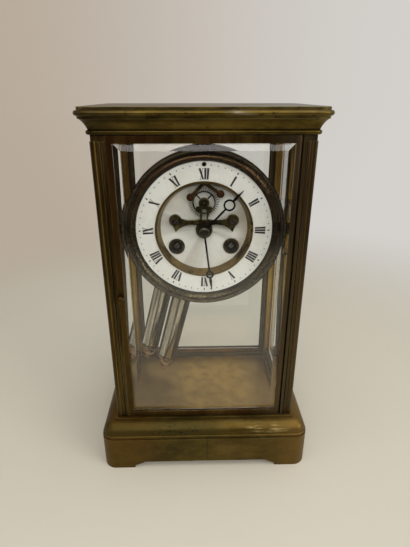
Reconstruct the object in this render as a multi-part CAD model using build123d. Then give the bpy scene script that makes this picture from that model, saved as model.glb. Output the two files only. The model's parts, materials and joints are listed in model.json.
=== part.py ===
from build123d import *
from math import asin, atan2, cos, degrees, hypot, pi, radians, sin
import os

os.makedirs("parts", exist_ok=True)

# Four-glass mantel clock: a brass case with four moulded pillars and bevelled panes,
# an enamel dial with its escapement in the open centre, and a two-vial pendulum.
# Millimetres. The front faces -Y, +X is to the right, +Z is up.
# The origin is under the middle of the base.

# Fits between pieces
seat_gap = 0.03
running_gap = 0.05
free_gap = 0.3
cut_over = 5.0

# Case: the outer faces of the pillars set the width and the depth
case_width = 140.0
case_depth = 96.5
pillar_side = 9.2
pillar_height = 215.8
pillar_corner_bead = 1.9
pillar_face_bead = 1.2
pillar_quirk = 0.45
pillar_sink = 1.0
pillar_neck = 3.9
pillar_neck_sink = 0.85
tie_rod_radius = 1.5
tie_rod_inset = 4.2
tie_rod_grip = 8.0
tie_nut_radius = 3.2
tie_nut_height = 2.5

# Plinth: a hollow casting on four bracket feet
plinth_height = 42.0
plinth_reach = 12.3
plinth_corner = 10.0
plinth_groove_height = 1.0
plinth_groove_depth = 0.8
plinth_bead_height = 2.0
plinth_bead_reach = 11.9
plinth_bead_round = 0.8
plinth_ovolo_reach = 11.0
plinth_ovolo_height = 8.5
plinth_ovolo_radius = 8.0
plinth_ledge_height = 1.5
plinth_ledge_reach = 2.0
plinth_ledge_corner = 2.0
plinth_wall = 5.5
plinth_deck = 12.0
foot_length = 25.3
foot_step = 2.4
arch_height = 6.0
arch_run = 8.2
floor_drop = 3.5
floor_thickness = 3.0
floor_margin = 0.75
floor_ledge = 3.0

# Cornice: bead, cove, fillet, torus and cap, from the bottom up
cornice_corner = 3.0
cornice_inset = 2.5
cornice_bead_height = 2.6
cornice_bead_root = 0.2
cornice_bead_reach = 1.15
cornice_cove_height = 6.5
cornice_cove_root = -0.3
cornice_cove_reach = 3.5
cornice_cove_sag = 1.05
cornice_fillet_height = 1.6
cornice_fillet_reach = 4.1
cornice_torus_height = 3.2
cornice_torus_root = 4.3
cornice_torus_reach = 5.9
cornice_cap_reach = 3.9
cornice_cap_height = 1.9
cornice_roof = 4.0

# Doors and panes
door_depth = 6.0
door_gap = 0.3
door_foot_gap = 0.4
door_head_gap = 0.5
door_stile = 4.1
door_rail = 4.7
door_lip = 2.2
pane_edge = 2.8
pane_bevel_depth = 1.2
pane_bevel = 4.5
pane_lap = 0.8
hinge_inset = 2.3
hinge_pin_radius = 1.0
hinge_pin_grip = 3.0
hinge_pin_reach = 2.2
latch_rise = 106.7
latch_inset = 1.5
latch_shaft_radius = 0.9
knob_radius = 2.3
knob_neck = 1.2
knob_neck_length = 1.2
knob_length = 3.2
knob_round = 0.9
tongue_length = 4.1
tongue_width = 1.8
tongue_thickness = 1.2
side_pane_inset = 4.0
side_pane_edge = 1.9
side_pane_groove = 2.2
side_rail_height = 4.5
side_rail_width = 6.0

# Dial: places are from its centre, depths behind the front of the case
bezel_head_gap = 9.1
chapter_depth = 16.15
chapter_outer = 48.0
chapter_inner = 33.6
chapter_thickness = 1.5
regulator_rise = 45.2
regulator_hole = 1.6
bezel_outer = 55.8
bezel_inner = 47.4
bezel_lip = 0.5
bezel_crown = 50.4
bezel_crown_height = 3.6
bezel_step = 53.0
bezel_step_height = 1.7
bezel_flange_height = 1.1
bezel_plate = 1.4
bezel_plate_inner = 35.6
bezel_foot_radius = 2.0
bezel_foot_place = 39.0
sight_lip = 34.3
sight_lip_height = 0.6
sight_wall = 33.4
sight_front = 32.7
sight_back = 30.8
dial_recess = 6.1
dial_thickness = 1.2
dial_plate_radius = 32.6
dial_pipe_hole = 3.6
dial_foot_radius = 1.2
dial_feet = ((23.0, 16.0), (-23.0, 16.0), (8.2, -26.0), (-8.2, -26.0))
winding_x = 19.6
winding_z = -13.5
collet_outer = 5.8
collet_inner = 3.6
collet_tube = 4.6
collet_flange = 0.9
collet_depth = 4.8
strap_thickness = 2.4
strap_clear = 0.2
strap_height = 9.0
strap_lap = 5.8
strap_tab_thickness = 2.0

# Hands, turned to the time shown
hour_turn = 43.3
minute_turn = 172.9
hand_thickness = 0.7
hand_gap = 0.9
hour_hand_gap = 2.2
hour_length = 38.6
hour_ring_at = 25.0
hour_ring = 4.1
hour_hub = 4.0
hour_stalk = 1.5
minute_length = 44.5
minute_ring_at = 32.3
minute_ring = 2.9
minute_hub = 4.6
minute_stalk = 1.4
hand_band = 1.2
hand_point = 0.3
hand_swell = 2.1
nut_radius = 3.9
nut_height = 2.4
nut_round = 1.6
nut_grip = 1.3

# Plates and the space between them
motion_space = 6.55
plate_thickness = 2.0
plate_space = 26.0
plate_radius = 41.0
post_radius = 2.6
post_neck = 1.6
post_place = 37.0
post_turns = (50.0, 118.0, 255.0, 285.0)

# Arbors: places are from the dial centre
centre_arbor = 1.5
hand_arbor = 1.0
cannon_outer = 1.7
pipe_outer = 2.6
fine_arbor = 0.5
strike_arbor_radius = 1.0
barrel_arbor = 2.5
winding_square = 3.2
third_place = (8.5, 11.0)
escape_place = (0.0, 19.1)
anchor_place = (0.0, 33.0)
strike_place = (-22.0, 10.2)
pin_wheel_place = (-12.5, 19.0)
fly_place = (-8.0, 28.5)
hammer_place = (-24.0, 26.0)
minute_wheel_place = (0.0, -9.6)

# Wheels: tooth counts, and depths behind the front plate
great_teeth = 84
great_pinion_teeth = 12
centre_teeth = 72
third_teeth = 66
leaf_teeth = 6
cannon_teeth = 12
minute_teeth = 36
minute_pinion_teeth = 10
hour_teeth = 40
pin_teeth = 60
ratchet_teeth = 24
tooth_rise_share = 0.85
tooth_fall_share = 1.15
tooth_root_share = 0.23
tooth_tip_share = 0.09
leaf_root_share = 0.17
leaf_tip_share = 0.07
great_thickness = 1.4
wheel_thickness = 1.1
wheel_rim = 1.5
wheel_spoke = 1.3
wheel_hub = 3.0
wheel_arms = 5
pinion_margin = 0.5
going_great_depth = 1.05
strike_great_depth = 3.05
drum_radius = 16.8
drum_end = 19.25
drum_lid = 1.6
drum_lid_step = 0.7
centre_wheel_depth = 20.45
third_wheel_depth = 22.85
strike_wheel_depth = 22.85
pin_wheel_depth = 14.25
strike_pin_radius = 0.6
strike_pin_place = 7.3
strike_pin_length = 1.9
strike_pins = 8
fly_half_width = 5.2
fly_thickness = 0.5
fly_start = 2.3
fly_length = 9.5
cannon_pinion_width = 1.6
cannon_pinion_depth = 0.45
minute_wheel_depth = 0.7
hour_wheel_depth = 3.95
ratchet_tip = 6.4
ratchet_root = 5.6
ratchet_thickness = 1.3
square_end = 7.1
click_place = (10.4, 1.5)
click_boss = 1.9
click_stud = 1.0
click_tip = 0.5

# Open escapement
escape_teeth = 36
escape_tip = 10.7
escape_rim = 8.0
escape_rim_width = 0.9
escape_arms = 4
escape_arm_turn = 45.0
escape_spoke = 0.9
escape_tooth_root_share = 0.14
escape_tooth_tip_share = 0.05
escape_tooth_rake_share = 0.08
escape_wheel_rise = 2.5
escape_wheel_thickness = 0.8
escape_hub = 2.0
anchor_reach = 13.7
anchor_spread = 97.5
anchor_lean = 6.0
anchor_hub = 2.2
anchor_arm = 2.4
anchor_boss = 2.7
anchor_thickness = 0.8
anchor_arbor = 0.9
jewel_radius = 0.6
jewel_thickness = 0.45
jewel_head = 1.3
jewel_proud = 0.3
jewel_reach = 1.6
locking_pitches = 13.5
cock_boss_x = 20.0
cock_boss_z = 6.9
cock_boss = 4.4
cock_foot = 2.6
cock_spur_x = 19.9
cock_spur_z = -1.6
cock_arm_top = 6.6
cock_arm_low = 2.7
cock_arm_sag = 0.9
cock_body = 6.0
cock_body_hole = 3.4
cock_stem = 3.0
cock_window = 1.5
cock_window_low = 7.4
cock_window_high = 14.8
cock_head = 3.8
cock_ear = 2.0
cock_ear_x = 4.0
cock_ear_drop = 4.3
cock_rise = 3.7
cock_thickness = 1.4
notch_half = 6.4

# Strike work behind the back plate
count_radius = 11.0
count_notch = 2.2
count_thickness = 1.3
count_gap = 0.9
bell_radius = 27.0
bell_gap = 10.2
bell_depth = 16.6
bell_wall = 1.6
bell_bore = 2.0
stand_place = (-18.0, -12.0)
stand_post = 2.0
stand_arm = 4.0
stand_arm_gap = 12.3
stand_arm_thickness = 2.0
stand_flange = 3.2
stand_flange_thickness = 1.4
stand_nut = 3.4
stand_nut_height = 2.0
hammer_arm = 2.2
hammer_arm_thickness = 1.4
hammer_arm_gap = 11.4
hammer_head_z = 3.0
hammer_head_radius = 2.3
hammer_head_length = 6.0
hammer_head_gap = 1.4
hammer_hub = 2.0
hammer_tail_gap = 0.5
hammer_tail = 1.6

# Suspension, crutch and pendulum: lengths run down from the swing axis
swing_gap = 7.4
bob_throw = 42.5
bob_twist = -35.4
bob_floor_gap = 1.1
bracket_half = 7.5
bracket_foot = 2.0
bracket_low = 3.6
bracket_high = 20.0
bracket_block_half = 4.5
bracket_block_low = 6.4
bracket_block_depth = 10.0
spring_slot = 0.5
spring_strip = 0.2
spring_width = 5.0
spring_chop_half = 1.6
spring_chop_height = 4.0
spring_drop = 0.1
spring_rise = 12.0
regulator_radius = 1.0
regulator_square = 1.4
regulator_square_length = 3.0
regulator_crown = 1.9
regulator_crown_thickness = 1.2
regulator_bite = 2.5
hook_start = 0.5
hook_length = 6.0
hook_width = 5.0
hook_thickness = 2.6
rod_radius = 1.25
rod_end = 81.8
crutch_collet = 3.0
crutch_collet_length = 1.8
crutch_start = 0.5
crutch_length = 27.0
crutch_bar = 2.2
crutch_bar_thickness = 1.2
crutch_prong = 0.7
crutch_prong_over = 0.8
yoke_top = 75.0
yoke_bar = 2.6
yoke_over = 1.4
yoke_depth = 3.0
yoke_boss = 3.4
yoke_boss_rise = 2.0
rating_gap = 0.1
rating_radius = 3.6
rating_height = 3.0
rating_flutes = 18
rating_flute = 0.35
leg_radius = 1.4
vial_spacing = 20.6
vial_radius = 7.2
vial_wall = 0.9
vial_top = 85.0
cap_over = 0.35
cap_height = 3.0
fill_drop = 9.0
cup_height = 1.4
cradle_gap = 0.15
cradle_thickness = 0.8
cradle_width = 4.4
cradle_drop = 6.4
finial_neck = 1.2
finial_neck_length = 0.7
finial_ring = 2.5
finial_ring_length = 0.9
finial_ball = 2.1
finial_sink = 0.2
finial_tip = 0.9

# Places worked out from the sizes above
half_width = case_width / 2
half_depth = case_depth / 2
inner_x = half_width - pillar_side
inner_y = half_depth - pillar_side
pillar_top = plinth_height + pillar_height
dial_z = pillar_top - bezel_head_gap - bezel_outer
chapter_y = -half_depth + chapter_depth
centre_y = chapter_y + dial_recess
centre_back = centre_y + dial_thickness
front_plate_y = centre_back + motion_space
plates_open = front_plate_y + plate_thickness
plates_close = plates_open + plate_space
back_plate_y = plates_close + plate_thickness
swing_y = back_plate_y + swing_gap
swing_z = dial_z + anchor_place[1]
hour_hand_y = centre_y - cock_rise - cock_thickness - hour_hand_gap - hand_thickness
minute_hand_y = hour_hand_y - hand_gap - hand_thickness
pendulum_length = swing_z - (plinth_height - floor_drop) - bob_floor_gap
finial_length = finial_neck_length + finial_ring_length - finial_sink + 2 * finial_ball + finial_tip
cup_end = pendulum_length - finial_length - cradle_drop
vial_bottom = cup_end - cup_height
pendulum_lean = degrees(asin(bob_throw / vial_bottom))


def between(x0, x1, y0, y1, z0, z1):
    middle = Pos((x0 + x1) / 2, (y0 + y1) / 2, (z0 + z1) / 2)
    return middle * Box(x1 - x0, y1 - y0, z1 - z0)


def rounded_slab(reach, corner, low, high):
    plan = RectangleRounded(case_width + 2 * reach, case_depth + 2 * reach, corner)
    return extrude(Pos(0, 0, low) * plan, amount=high - low)


# A sketch seen from the front, made solid from one depth to the next
def slab(sketch, front, back, place=(0, 0)):
    origin = (place[0], back, dial_z + place[1])
    plane = Plane(origin=origin, x_dir=(1, 0, 0), z_dir=(0, -1, 0))
    return extrude(plane * sketch, amount=back - front)


def drum(radius, front, back, place=(0, 0)):
    return slab(Circle(radius), front, back, place)


# A turned form about the dial axis, from points of radius and depth
def turned(outline):
    face = make_face(Plane.XY * outline)
    return Pos(0, 0, dial_z) * revolve(face, Axis.Y)


def heading(start, end):
    return atan2(end[1] - start[1], end[0] - start[0])


def distance(start, end):
    return hypot(end[0] - start[0], end[1] - start[1])


def meshing_module(start, end, teeth, other_teeth):
    return 2 * distance(start, end) / (teeth + other_teeth)


# Plain trapezoid teeth; a tooth is centred on the phase angle
def toothed(teeth, module, phase, root_share, tip_share):
    pitch = 2 * pi / teeth
    tip = module * (teeth / 2 + tooth_rise_share)
    root = module * (teeth / 2 - tooth_fall_share)
    corners = ((root, -root_share), (tip, -tip_share), (tip, tip_share), (root, root_share))
    points = []
    for number in range(teeth):
        for radius, share in corners:
            angle = phase + (number + share) * pitch
            points.append((radius * cos(angle), radius * sin(angle)))
    return make_face(Polyline(*points, close=True))


def wheel_sketch(teeth, module, phase):
    return toothed(teeth, module, phase, tooth_root_share, tooth_tip_share)


def pinion_sketch(teeth, module, phase):
    return toothed(teeth, module, phase, leaf_root_share, leaf_tip_share)


# The open spaces between a wheel's arms
def crossings(hub, rim, arms, spoke, turn=0):
    spaces = Circle(rim) - Circle(hub)
    for number in range(arms):
        bar = Pos(rim / 2, 0) * Rectangle(rim + hub, spoke)
        spaces -= Rot(0, 0, turn + number * 360 / arms) * bar
    return spaces


def crossed_wheel(teeth, module, phase):
    rim = module * (teeth / 2 - tooth_fall_share) - wheel_rim
    return wheel_sketch(teeth, module, phase) - crossings(wheel_hub, rim, wheel_arms, wheel_spoke)


# A gap of the driven gear faces the tooth of the driver
def gap_phase(own, other, teeth):
    return heading(own, other) + pi / teeth


# Case

def arch(run_end):
    drop = cut_over
    line = [
        (-run_end, -drop), (-run_end, foot_step),
        (-run_end + arch_run, arch_height), (run_end - arch_run, arch_height),
        (run_end, foot_step), (run_end, -drop),
    ]
    half = arch_run / 2
    rise = (arch_height - foot_step) / 2
    bend = rise / 2
    left = ThreePointArc(
        line[1], (-run_end + half, foot_step + rise - bend / 2), line[2])
    right = ThreePointArc(
        line[3], (run_end - half, foot_step + rise - bend / 2), line[4])
    wire = Polyline(line[0], line[1]) + left + Line(line[2], line[3]) + right
    wire += Polyline(line[4], line[5], line[0])
    return make_face(wire)


def base_plinth():
    outer_x = half_width + plinth_reach
    outer_y = half_depth + plinth_reach
    ovolo_top = plinth_height - plinth_ledge_height
    bead_top = ovolo_top - plinth_ovolo_height
    groove_top = bead_top - plinth_bead_height
    face_top = groove_top - plinth_groove_height
    body = rounded_slab(plinth_reach, plinth_corner, 0, face_top)
    inset = plinth_reach - plinth_groove_depth
    body += rounded_slab(inset, plinth_corner - plinth_groove_depth, face_top, groove_top)
    bead = rounded_slab(plinth_bead_reach, plinth_corner - (plinth_reach - plinth_bead_reach),
                        groove_top, bead_top)
    rims = bead.faces().filter_by(Axis.Z).edges()
    body += fillet(rims, plinth_bead_round)
    ovolo = rounded_slab(plinth_ovolo_reach, plinth_corner - (plinth_reach - plinth_ovolo_reach),
                         bead_top, ovolo_top)
    body += fillet(ovolo.faces().sort_by(Axis.Z)[-1].edges(), plinth_ovolo_radius)
    body += rounded_slab(plinth_ledge_reach, plinth_ledge_corner, ovolo_top, plinth_height)
    cavity_top = plinth_height - plinth_deck
    cavity = rounded_slab(plinth_reach - plinth_wall, plinth_wall, -cut_over, cavity_top)
    body -= cavity
    front_arch = arch(outer_x - foot_length)
    body -= extrude(Plane.XZ * front_arch, amount=outer_y + cut_over, both=True)
    side_arch = arch(outer_y - foot_length)
    body -= extrude(Plane.YZ * side_arch, amount=outer_x + cut_over, both=True)
    floor_x = inner_x - floor_margin
    floor_y = half_depth - door_depth - floor_margin
    floor_low = plinth_height - floor_drop - floor_thickness
    body -= between(-floor_x, floor_x, -floor_y, floor_y, floor_low, plinth_height + cut_over)
    hole_x = floor_x - floor_ledge
    hole_y = floor_y - floor_ledge
    body -= between(-hole_x, hole_x, -hole_y, hole_y, 0, plinth_height)
    for place in tie_places():
        body -= Pos(place[0], place[1], plinth_height / 2) * Cylinder(
            tie_rod_radius + seat_gap, plinth_height)
    for place in hinge_places():
        body -= Pos(place[0], place[1], plinth_height) * Cylinder(
            hinge_pin_radius + seat_gap, 2 * hinge_pin_grip)
    return body


def floor_plate():
    floor_x = inner_x - floor_margin - seat_gap
    floor_y = half_depth - door_depth - floor_margin - seat_gap
    top = plinth_height - floor_drop
    return between(-floor_x, floor_x, -floor_y, floor_y, top - floor_thickness, top)


def tie_places():
    x = half_width - tie_rod_inset
    y = half_depth - tie_rod_inset
    return [(-x, -y), (x, -y), (-x, y), (x, y)]


def hinge_places():
    x = inner_x - door_gap - hinge_inset
    y = half_depth - hinge_inset
    return [(x, -y), (-x, y)]


# Section of the front left pillar, with its outer corner at the origin
def pillar_section():
    side = pillar_side
    bead_at = 2 * pillar_corner_bead + pillar_quirk + pillar_face_bead
    fillet_at = bead_at + pillar_face_bead + pillar_quirk
    core = side - pillar_sink
    section = Pos(pillar_sink + core / 2, pillar_sink + core / 2) * Rectangle(core, core)
    section += Pos(pillar_corner_bead, pillar_corner_bead) * Circle(pillar_corner_bead)
    section += Pos(bead_at, pillar_face_bead) * Circle(pillar_face_bead)
    section += Pos(pillar_face_bead, bead_at) * Circle(pillar_face_bead)
    width = side - fillet_at
    section += Pos(side - width / 2, side / 2) * Rectangle(width, side)
    section += Pos(side / 2, side - width / 2) * Rectangle(side, width)
    return section


def pillar(left, front, with_pocket):
    shaft = pillar_height - pillar_neck
    body = extrude(pillar_section(), amount=shaft)
    neck = pillar_side - pillar_neck_sink
    middle = pillar_neck_sink + neck / 2
    body += Pos(middle, middle, shaft + pillar_neck / 2) * Box(neck, neck, pillar_neck)
    body -= Pos(tie_rod_inset, tie_rod_inset, pillar_height / 2) * Cylinder(
        tie_rod_radius + seat_gap, pillar_height + cut_over)
    half_slot = side_pane_edge / 2 + seat_gap
    body -= between(side_pane_inset - half_slot, side_pane_inset + half_slot,
                    pillar_side - side_pane_groove, pillar_side + cut_over,
                    -cut_over, pillar_height + cut_over)
    if with_pocket:
        deep = tongue_length + tongue_width / 2 - latch_inset
        low = door_depth + free_gap / 2
        body -= between(pillar_side - deep, pillar_side + cut_over,
                        low, pillar_side + cut_over,
                        latch_rise - tongue_width / 2 - free_gap,
                        latch_rise + tongue_length + tongue_width / 2 + free_gap)
    body = Pos(-half_width, -half_depth, plinth_height) * body
    if not left:
        body = mirror(body, about=Plane.YZ)
    if not front:
        body = mirror(body, about=Plane.XZ)
    return body


def tie_rods():
    nut_top = plinth_height - plinth_deck
    top = pillar_top + tie_rod_grip
    rods = Part()
    for place in tie_places():
        rod = Pos(place[0], place[1], (nut_top + top) / 2) * Cylinder(tie_rod_radius, top - nut_top)
        nut = extrude(RegularPolygon(tie_nut_radius, 6), amount=-tie_nut_height)
        rod += Pos(place[0], place[1], nut_top) * nut
        rods += rod
    return rods


def cornice():
    z1 = cornice_bead_height
    z2 = z1 + cornice_cove_height
    z3 = z2 + cornice_fillet_height
    z4 = z3 + cornice_torus_height
    z5 = z4 + cornice_cap_height
    back = -cornice_inset
    cove_mid = ((cornice_cove_root + cornice_cove_reach) / 2 - cornice_cove_sag / 2,
                (z1 + z2) / 2 + cornice_cove_sag / 2)
    line = Polyline((back, z5), (back, 0), (cornice_bead_root, 0))
    line += ThreePointArc((cornice_bead_root, 0), (cornice_bead_reach, z1 / 2),
                          (cornice_bead_root, z1))
    line += Line((cornice_bead_root, z1), (cornice_cove_root, z1))
    line += ThreePointArc((cornice_cove_root, z1), cove_mid, (cornice_cove_reach, z2))
    line += Polyline((cornice_cove_reach, z2), (cornice_fillet_reach, z2),
                     (cornice_fillet_reach, z3), (cornice_torus_root, z3))
    line += ThreePointArc((cornice_torus_root, z3), (cornice_torus_reach, (z3 + z4) / 2),
                          (cornice_torus_root, z4))
    line += Polyline((cornice_torus_root, z4), (cornice_cap_reach, z4),
                     (cornice_cap_reach, z5), (back, z5))
    profile = make_face(line)
    plan = RectangleRounded(case_width, case_depth, cornice_corner)
    path = (Pos(0, 0, pillar_top) * plan).faces()[0].outer_wire()
    start = Plane(origin=(half_width, 0, pillar_top), x_dir=(1, 0, 0), z_dir=(0, -1, 0))
    ring = sweep(start * profile, path=path)
    core_x = half_width - cornice_inset
    core_y = half_depth - cornice_inset
    core = between(-core_x, core_x, -core_y, core_y, pillar_top, pillar_top + z5)
    core -= between(-inner_x, inner_x, -inner_y, inner_y, pillar_top - cut_over,
                    pillar_top + z5 - cornice_roof)
    body = ring + core
    for place in tie_places():
        body -= Pos(place[0], place[1], pillar_top) * Cylinder(
            tie_rod_radius + seat_gap, 2 * tie_rod_grip)
    for place in hinge_places():
        body -= Pos(place[0], place[1], pillar_top) * Cylinder(
            hinge_pin_radius + seat_gap, 2 * hinge_pin_grip)
    return body


def side_rails():
    outer = half_width - (side_pane_inset - side_rail_width / 2)
    inner = outer - side_rail_width
    middle = half_width - side_pane_inset
    half_slot = side_pane_edge / 2 + seat_gap
    rails = Part()
    for side in (-1, 1):
        low = between(inner, outer, -inner_y, inner_y, plinth_height, plinth_height + side_rail_height)
        low -= between(middle - half_slot, middle + half_slot, -half_depth, half_depth,
                       plinth_height + side_rail_height - side_pane_groove, pillar_top)
        high = between(inner, outer, -inner_y, inner_y, pillar_top - side_rail_height, pillar_top)
        high -= between(middle - half_slot, middle + half_slot, -half_depth, half_depth,
                        plinth_height, pillar_top - side_rail_height + side_pane_groove)
        pair = low + high
        rails += pair if side > 0 else mirror(pair, about=Plane.YZ)
    return rails


# A pane seen from the front: flat back, bevelled front face standing towards -Y
def bevelled_pane(half, low, high, back, edge, lap):
    pane = between(-half, half, back - edge, back, low, high)
    inner = half - lap
    top = inner - pane_bevel
    height = high - low
    middle = (low + high) / 2
    rim_plane = Plane(origin=(0, back - edge, middle), x_dir=(1, 0, 0), z_dir=(0, -1, 0))
    face_plane = rim_plane.offset(pane_bevel_depth)
    rim = rim_plane * Rectangle(2 * inner, height - 2 * lap)
    face = face_plane * Rectangle(2 * top, height - 2 * lap - 2 * pane_bevel)
    return pane + loft([rim, face])


def side_pane(side):
    half = inner_y + side_pane_groove - seat_gap
    groove = side_rail_height - side_pane_groove + seat_gap
    pane = bevelled_pane(half, plinth_height + groove, pillar_top - groove,
                         side_pane_edge / 2, side_pane_edge, side_pane_groove + seat_gap)
    pane = Rot(0, 0, 90) * pane
    pane = Pos(half_width - side_pane_inset, 0, 0) * pane
    return pane if side > 0 else mirror(pane, about=Plane.YZ)


def hinge_pins():
    length = hinge_pin_grip + hinge_pin_reach
    pins = Part()
    for place in hinge_places():
        low = plinth_height - hinge_pin_grip + (length + door_foot_gap) / 2
        high = pillar_top + hinge_pin_grip - (length + door_head_gap) / 2
        pins += Pos(place[0], place[1], low) * Cylinder(hinge_pin_radius, length + door_foot_gap)
        pins += Pos(place[0], place[1], high) * Cylinder(hinge_pin_radius, length + door_head_gap)
    return pins


# Doors: drawn at the front, turned half round for the back

def door_frame():
    half = inner_x - door_gap
    low = plinth_height + door_foot_gap
    high = pillar_top - door_head_gap
    front = -half_depth
    back = front + door_depth
    plan = Pos(0, (front + back) / 2) * Rectangle(2 * half, door_depth)
    pivot = hinge_places()[0]
    corner = Pos(half - hinge_inset / 2, front + hinge_inset / 2) * Rectangle(hinge_inset, hinge_inset)
    plan -= corner - Pos(*pivot) * Circle(hinge_inset)
    body = extrude(Pos(0, 0, low) * plan, amount=high - low)
    open_x = half - door_stile
    body -= between(-open_x, open_x, front - cut_over, back + cut_over, low + door_rail, high - door_rail)
    seat = open_x + pane_lap
    body -= between(-seat, seat, front + door_lip, back + cut_over,
                    low + door_rail - pane_lap, high - door_rail + pane_lap)
    bore = hinge_pin_radius + running_gap
    depth = hinge_pin_reach + free_gap
    body -= Pos(pivot[0], pivot[1], low) * Cylinder(bore, 2 * depth)
    body -= Pos(pivot[0], pivot[1], high) * Cylinder(bore, 2 * depth)
    shaft_hole = Plane(origin=(latch_x(), front, plinth_height + latch_rise),
                       x_dir=(1, 0, 0), z_dir=(0, 1, 0))
    hole = shaft_hole * Circle(latch_shaft_radius + running_gap)
    body -= extrude(hole, amount=door_depth + cut_over, both=True)
    return body


def latch_x():
    return -(inner_x - door_gap - latch_inset)


def door_pane():
    half = inner_x - door_gap - door_stile + pane_lap - seat_gap
    low = plinth_height + door_foot_gap + door_rail - pane_lap + seat_gap
    high = pillar_top - door_head_gap - door_rail + pane_lap - seat_gap
    back = -half_depth + door_lip + pane_edge
    return bevelled_pane(half, low, high, back, pane_edge, pane_lap + seat_gap)


def door_latch():
    rise = plinth_height + latch_rise - dial_z
    place = (latch_x(), rise)
    front = -half_depth
    back = front + door_depth
    start = front - free_gap
    tongue_front = back + free_gap
    body = drum(latch_shaft_radius, start, tongue_front + tongue_thickness, place)
    knob_back = start - knob_neck_length
    body += drum(knob_neck, knob_back, start, place)
    knob = drum(knob_radius, knob_back - knob_length, knob_back, place)
    body += fillet(knob.edges(), knob_round)
    tongue = Pos(0, tongue_length / 2) * SlotOverall(
        tongue_length + tongue_width, tongue_width, rotation=90)
    body += slab(tongue, tongue_front, tongue_front + tongue_thickness, place)
    return body


def turned_round(body):
    return Rot(0, 0, 180) * body


# Dial

def depth(amount):
    return chapter_y - amount


def dial_bezel():
    seat = depth(-chapter_thickness - seat_gap)
    back = depth(-chapter_thickness - seat_gap - bezel_plate)
    rim = chapter_outer + seat_gap
    under = depth(seat_gap)
    line = Polyline(
        (bezel_inner, depth(bezel_lip)), (bezel_inner, under), (rim, under), (rim, seat),
        (bezel_plate_inner, seat), (bezel_plate_inner, back), (bezel_outer, back),
        (bezel_outer, depth(bezel_flange_height)), (bezel_step, depth(bezel_flange_height)),
        (bezel_step, depth(bezel_step_height)))
    crown = (bezel_crown, depth(bezel_crown_height))
    swell = ((bezel_crown + bezel_step) / 2, depth(bezel_crown_height - bezel_lip))
    line += ThreePointArc((bezel_step, depth(bezel_step_height)), swell, crown)
    slope = ((bezel_crown + bezel_inner) / 2, depth((bezel_crown_height + bezel_lip) / 2 + bezel_lip))
    line += ThreePointArc(crown, slope, (bezel_inner, depth(bezel_lip)))
    body = turned(line)
    for number in range(4):
        angle = radians(45 + number * 90)
        place = (bezel_foot_place * cos(angle), bezel_foot_place * sin(angle))
        body += drum(bezel_foot_radius, back, front_plate_y, place)
    hole = regulator_radius + running_gap
    body -= drum(hole, seat - cut_over, back + cut_over, (0, regulator_rise))
    return body


def chapter_ring():
    ring = Circle(chapter_outer) - Circle(chapter_inner)
    ring -= Pos(0, regulator_rise) * Circle(regulator_hole)
    return slab(ring, chapter_y, depth(-chapter_thickness))


def sight_ring():
    line = Polyline(
        (sight_front, depth(sight_lip_height)), (sight_lip, depth(sight_lip_height)),
        (sight_lip, depth(seat_gap)), (sight_wall, depth(seat_gap)), (sight_wall, centre_back),
        (dial_plate_radius + seat_gap, centre_back), (dial_plate_radius + seat_gap, centre_y),
        (sight_back, centre_y), close=True)
    body = turned(line)
    notch_low = anchor_place[1] - 2 * anchor_hub
    notch_front = depth(-chapter_thickness)
    body -= between(-notch_half, notch_half, notch_front, centre_back + cut_over,
                    dial_z + notch_low, dial_z + sight_lip + cut_over)
    return body


def dial_centre():
    plate = Circle(dial_plate_radius) - Circle(dial_pipe_hole)
    for side in (-1, 1):
        plate -= Pos(side * winding_x, winding_z) * Circle(collet_tube + seat_gap)
    plate -= Pos(*escape_place) * Circle(fine_arbor + free_gap)
    opening = anchor_arbor + free_gap
    plate -= Pos(*anchor_place) * Circle(opening + free_gap)
    body = slab(plate, centre_y, centre_back)
    for place in dial_feet:
        body += drum(dial_foot_radius, centre_back, front_plate_y, place)
    return body


def winding_collets():
    collets = Part()
    for side in (-1, 1):
        place = (side * winding_x, winding_z)
        collet = drum(collet_outer, centre_y - collet_flange, centre_y, place)
        collet += drum(collet_tube, centre_y, centre_y + collet_depth, place)
        collet -= drum(collet_inner, centre_y - cut_over, centre_y + collet_depth + cut_over, place)
        collets += collet
    return collets


def movement_straps():
    inner = inner_x + strap_clear
    half = strap_height / 2
    tab_front = depth(-chapter_thickness - seat_gap - bezel_plate)
    strap = between(inner, inner + strap_thickness, -inner_y, inner_y, dial_z - half, dial_z + half)
    strap += between(bezel_outer - strap_lap, inner + strap_thickness, tab_front,
                     tab_front + strap_tab_thickness, dial_z - half, dial_z + half)
    return strap + mirror(strap, about=Plane.YZ)


# A hand with an open ring near its end, drawn pointing up
def hand_sketch(length, ring_at, ring, hub, stalk, bore):
    shape = Circle(hub)
    narrow = stalk / 2
    stem = Polyline((-narrow, 0), (narrow, 0), (hand_band / 2, ring_at), (-hand_band / 2, ring_at), close=True)
    shape += make_face(stem)
    tip_start = ring_at + ring - hand_band / 2
    neck = hand_band / 2
    middle = (tip_start + length) / 2 - (length - tip_start) / 4
    blade = Polyline((-neck, tip_start), (neck, tip_start), (hand_swell / 2, middle),
                     (hand_point / 2, length), (-hand_point / 2, length), (-hand_swell / 2, middle),
                     close=True)
    shape += make_face(blade)
    shape += Pos(0, ring_at) * Circle(ring)
    shape -= Pos(0, ring_at) * Circle(ring - hand_band)
    shape -= Circle(bore)
    return shape


def hour_hand():
    shape = hand_sketch(hour_length, hour_ring_at, hour_ring, hour_hub, hour_stalk, pipe_outer + seat_gap)
    return slab(Rot(0, 0, -hour_turn) * shape, hour_hand_y, hour_hand_y + hand_thickness)


def minute_hand():
    shape = hand_sketch(minute_length, minute_ring_at, minute_ring, minute_hub, minute_stalk,
                        cannon_outer + seat_gap)
    return slab(Rot(0, 0, -minute_turn) * shape, minute_hand_y, minute_hand_y + hand_thickness)


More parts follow.
